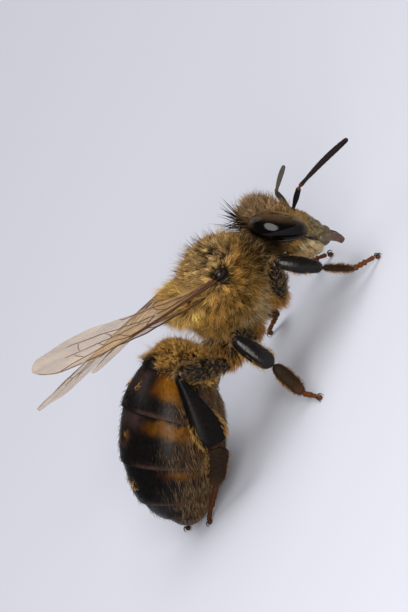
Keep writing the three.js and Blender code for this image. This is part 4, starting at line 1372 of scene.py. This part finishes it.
gold_patch(1.42, 20, (0.1, 5), 0.5, 0.22)
gold_patch(3.45, 12, (0.12, 5), 0.3, 0.12)
abdomen_long.make()
abdomen_short.make()

# --- legs and neck
leg_fur = Coat("leg_fur", "black_cuticle", 2, 6)
hip_fur = Coat("hip_fur", "thorax_coat", 3, 7)
CELLS = 8  # the legs' unwraps lie in a square of this many cells each way
NECK_CELL = 40
HIP_HAIR = np.array([0.36, 0.22, 0.09])
FEMUR_HAIRS = {"fore": 800, "mid": 800, "hind": 1300}
FRINGE_HAIRS = {"fore": 60, "mid": 110, "hind": 260}


def leg_hairs(coat, part, cell, count, length, width, root, tip, lift, pull=0.2, where=None, lean=(1, 0)):
    """Hairs on a limb. lean is the lie along it and out of its face."""
    density = None if where is None else (lambda p: where(*part.read(p)))
    points, normals, uv, _ = part.sheet.scatter(count, coat.rng, density)
    lie = part.along * lean[0] + part.face * lean[1]
    coat.add((points, normals, tile(uv, cell, CELLS)), lie, length, width, root, tip, lift, pull, 8, 0.15)


def edge(part):
    """Where a limb's broad side ends: for fringes."""
    widest = part.widest / 2
    return lambda t, across, out: smooth(0.7, 1.0, np.abs(across) / widest) * smooth(0.0, 0.15, t)


for cell, ((pair, name, segment), part) in enumerate(leg_parts.items()):
    if segment == "coxa":
        leg_hairs(hip_fur, part, cell, 1100, 0.5, 0.022, DARK, TAN * 0.8, (0.6, 0.35), 0.5)
    elif segment == "femur":
        count, root = FEMUR_HAIRS[pair], DARK * 0.7
        leg_hairs(hip_fur, part, cell, count, 0.32, 0.018, root, HIP_HAIR, (0.5, 0.2), 0.5, lean=(1, -0.2))
    elif segment == "tibia":
        leg_hairs(leg_fur, part, cell, 260, 0.14, 0.014, BLACK, BROWN, (0.35, 0.15))
        count = FRINGE_HAIRS[pair]
        leg_hairs(leg_fur, part, cell, count, 0.3, 0.016, BROWN, STRAW * 0.8, (0.5, 0.15), 0.0, edge(part))
    else:
        leg_hairs(leg_fur, part, cell, 420, 0.13, 0.016, DARK, BROWN * 1.5, (0.5, 0.3))
        leg_hairs(leg_fur, part, cell, 200, 0.2, 0.013, BROWN, STRAW * 0.55, (0.6, 0.3), 0.0, edge(part))
# The neck's hairs are dark brown: partly their own colour, partly painted shade between the head and the
# thorax.
leg_hairs(hip_fur, neck_part, NECK_CELL, 2200, 0.6, 0.02, BLACK, (0.13, 0.075, 0.03), (0.75, 0.6), 0.4)
leg_fur.make()
hip_fur.make()

# ---------------------------------------------------------------- floor, lights and camera
# in metres, in the frame of the solids
FLOOR_HALF = 0.2
VIEW_ELEVATION = math.radians(20)
TARGET = Vector(to_frame([1.48, 0, 4.586]))
DISTANCE = 0.25
VIEW_LENGTH = 0.02448  # how much of the scene the picture's long side takes in
SENSOR = 36  # the camera's own sensor, in mm
TURN_COSINE = 0.5  # of the angle between the bee's forward way and the picture's right


def add_floor():
    h = FLOOR_HALF
    mesh = bpy.data.meshes.new("floor")
    mesh.from_pydata([(-h, -h, 0), (h, -h, 0), (h, h, 0), (-h, h, 0)], [], [(0, 1, 2, 3)])
    paint = Paint("floor_paper", 0.1, 0.9)
    paint.set("Base Color", (0.68, 0.70, 0.79, 1))
    paint.bump(paint.noise(0.4, 2.0), 0.1, 0.02)
    mesh.materials.append(paint.material)
    floor = bpy.data.objects.new("floor", mesh)
    bpy.context.scene.collection.objects.link(floor)


def add_light(name, toward, distance, size, power, colour, turned=0):
    """A soft oval light that looks at the bee from a direction."""
    light = bpy.data.lights.new(name, "AREA")
    light.shape = "ELLIPSE"
    light.size, light.size_y = size
    light.energy = power
    light.color = colour
    lamp = bpy.data.objects.new(name, light)
    place_at = TARGET + Vector(toward).normalized() * distance
    facing = Vector(toward).to_track_quat("Z", "Y").to_matrix().to_4x4()
    lamp.matrix_world = Matrix.Translation(place_at) @ facing @ Matrix.Rotation(math.radians(turned), 4, "Z")
    bpy.context.scene.collection.objects.link(lamp)


def add_camera():
    away = Vector((0, -math.cos(VIEW_ELEVATION), math.sin(VIEW_ELEVATION)))
    north = Vector((0, math.sin(VIEW_ELEVATION), math.cos(VIEW_ELEVATION)))
    forward = Vector((1, 0, 0))
    turn_sine = math.sqrt(1 - TURN_COSINE**2)
    right = forward * TURN_COSINE - north * turn_sine
    up = forward * turn_sine + north * TURN_COSINE
    turned = Matrix((right, up, away)).transposed().to_4x4()
    lens = bpy.data.cameras.new("camera")
    lens.lens = SENSOR * DISTANCE / VIEW_LENGTH
    lens.clip_start, lens.clip_end = 0.01, 2.0
    camera = bpy.data.objects.new("camera", lens)
    camera.matrix_world = Matrix.Translation(TARGET + away * DISTANCE) @ turned
    bpy.context.scene.collection.objects.link(camera)
    bpy.context.scene.camera = camera


add_floor()
add_camera()
add_light("key", (-0.08, -0.87, 0.382), 0.16, (0.06, 0.17), 0.28, (1, 0.97, 0.93), -60)
add_light("top", (0.25, 0.1, 1.0), 0.5, (0.6, 0.6), 1.95, (1, 0.98, 0.96))
world = bpy.data.worlds.new("studio")
world.use_nodes = True
sky = world.node_tree.nodes["Background"]
sky.inputs["Color"].default_value = (0.93, 0.95, 1.0, 1)
sky.inputs["Strength"].default_value = 0.16
bpy.context.scene.world = world
bpy.context.scene.view_settings.view_transform = "Standard"
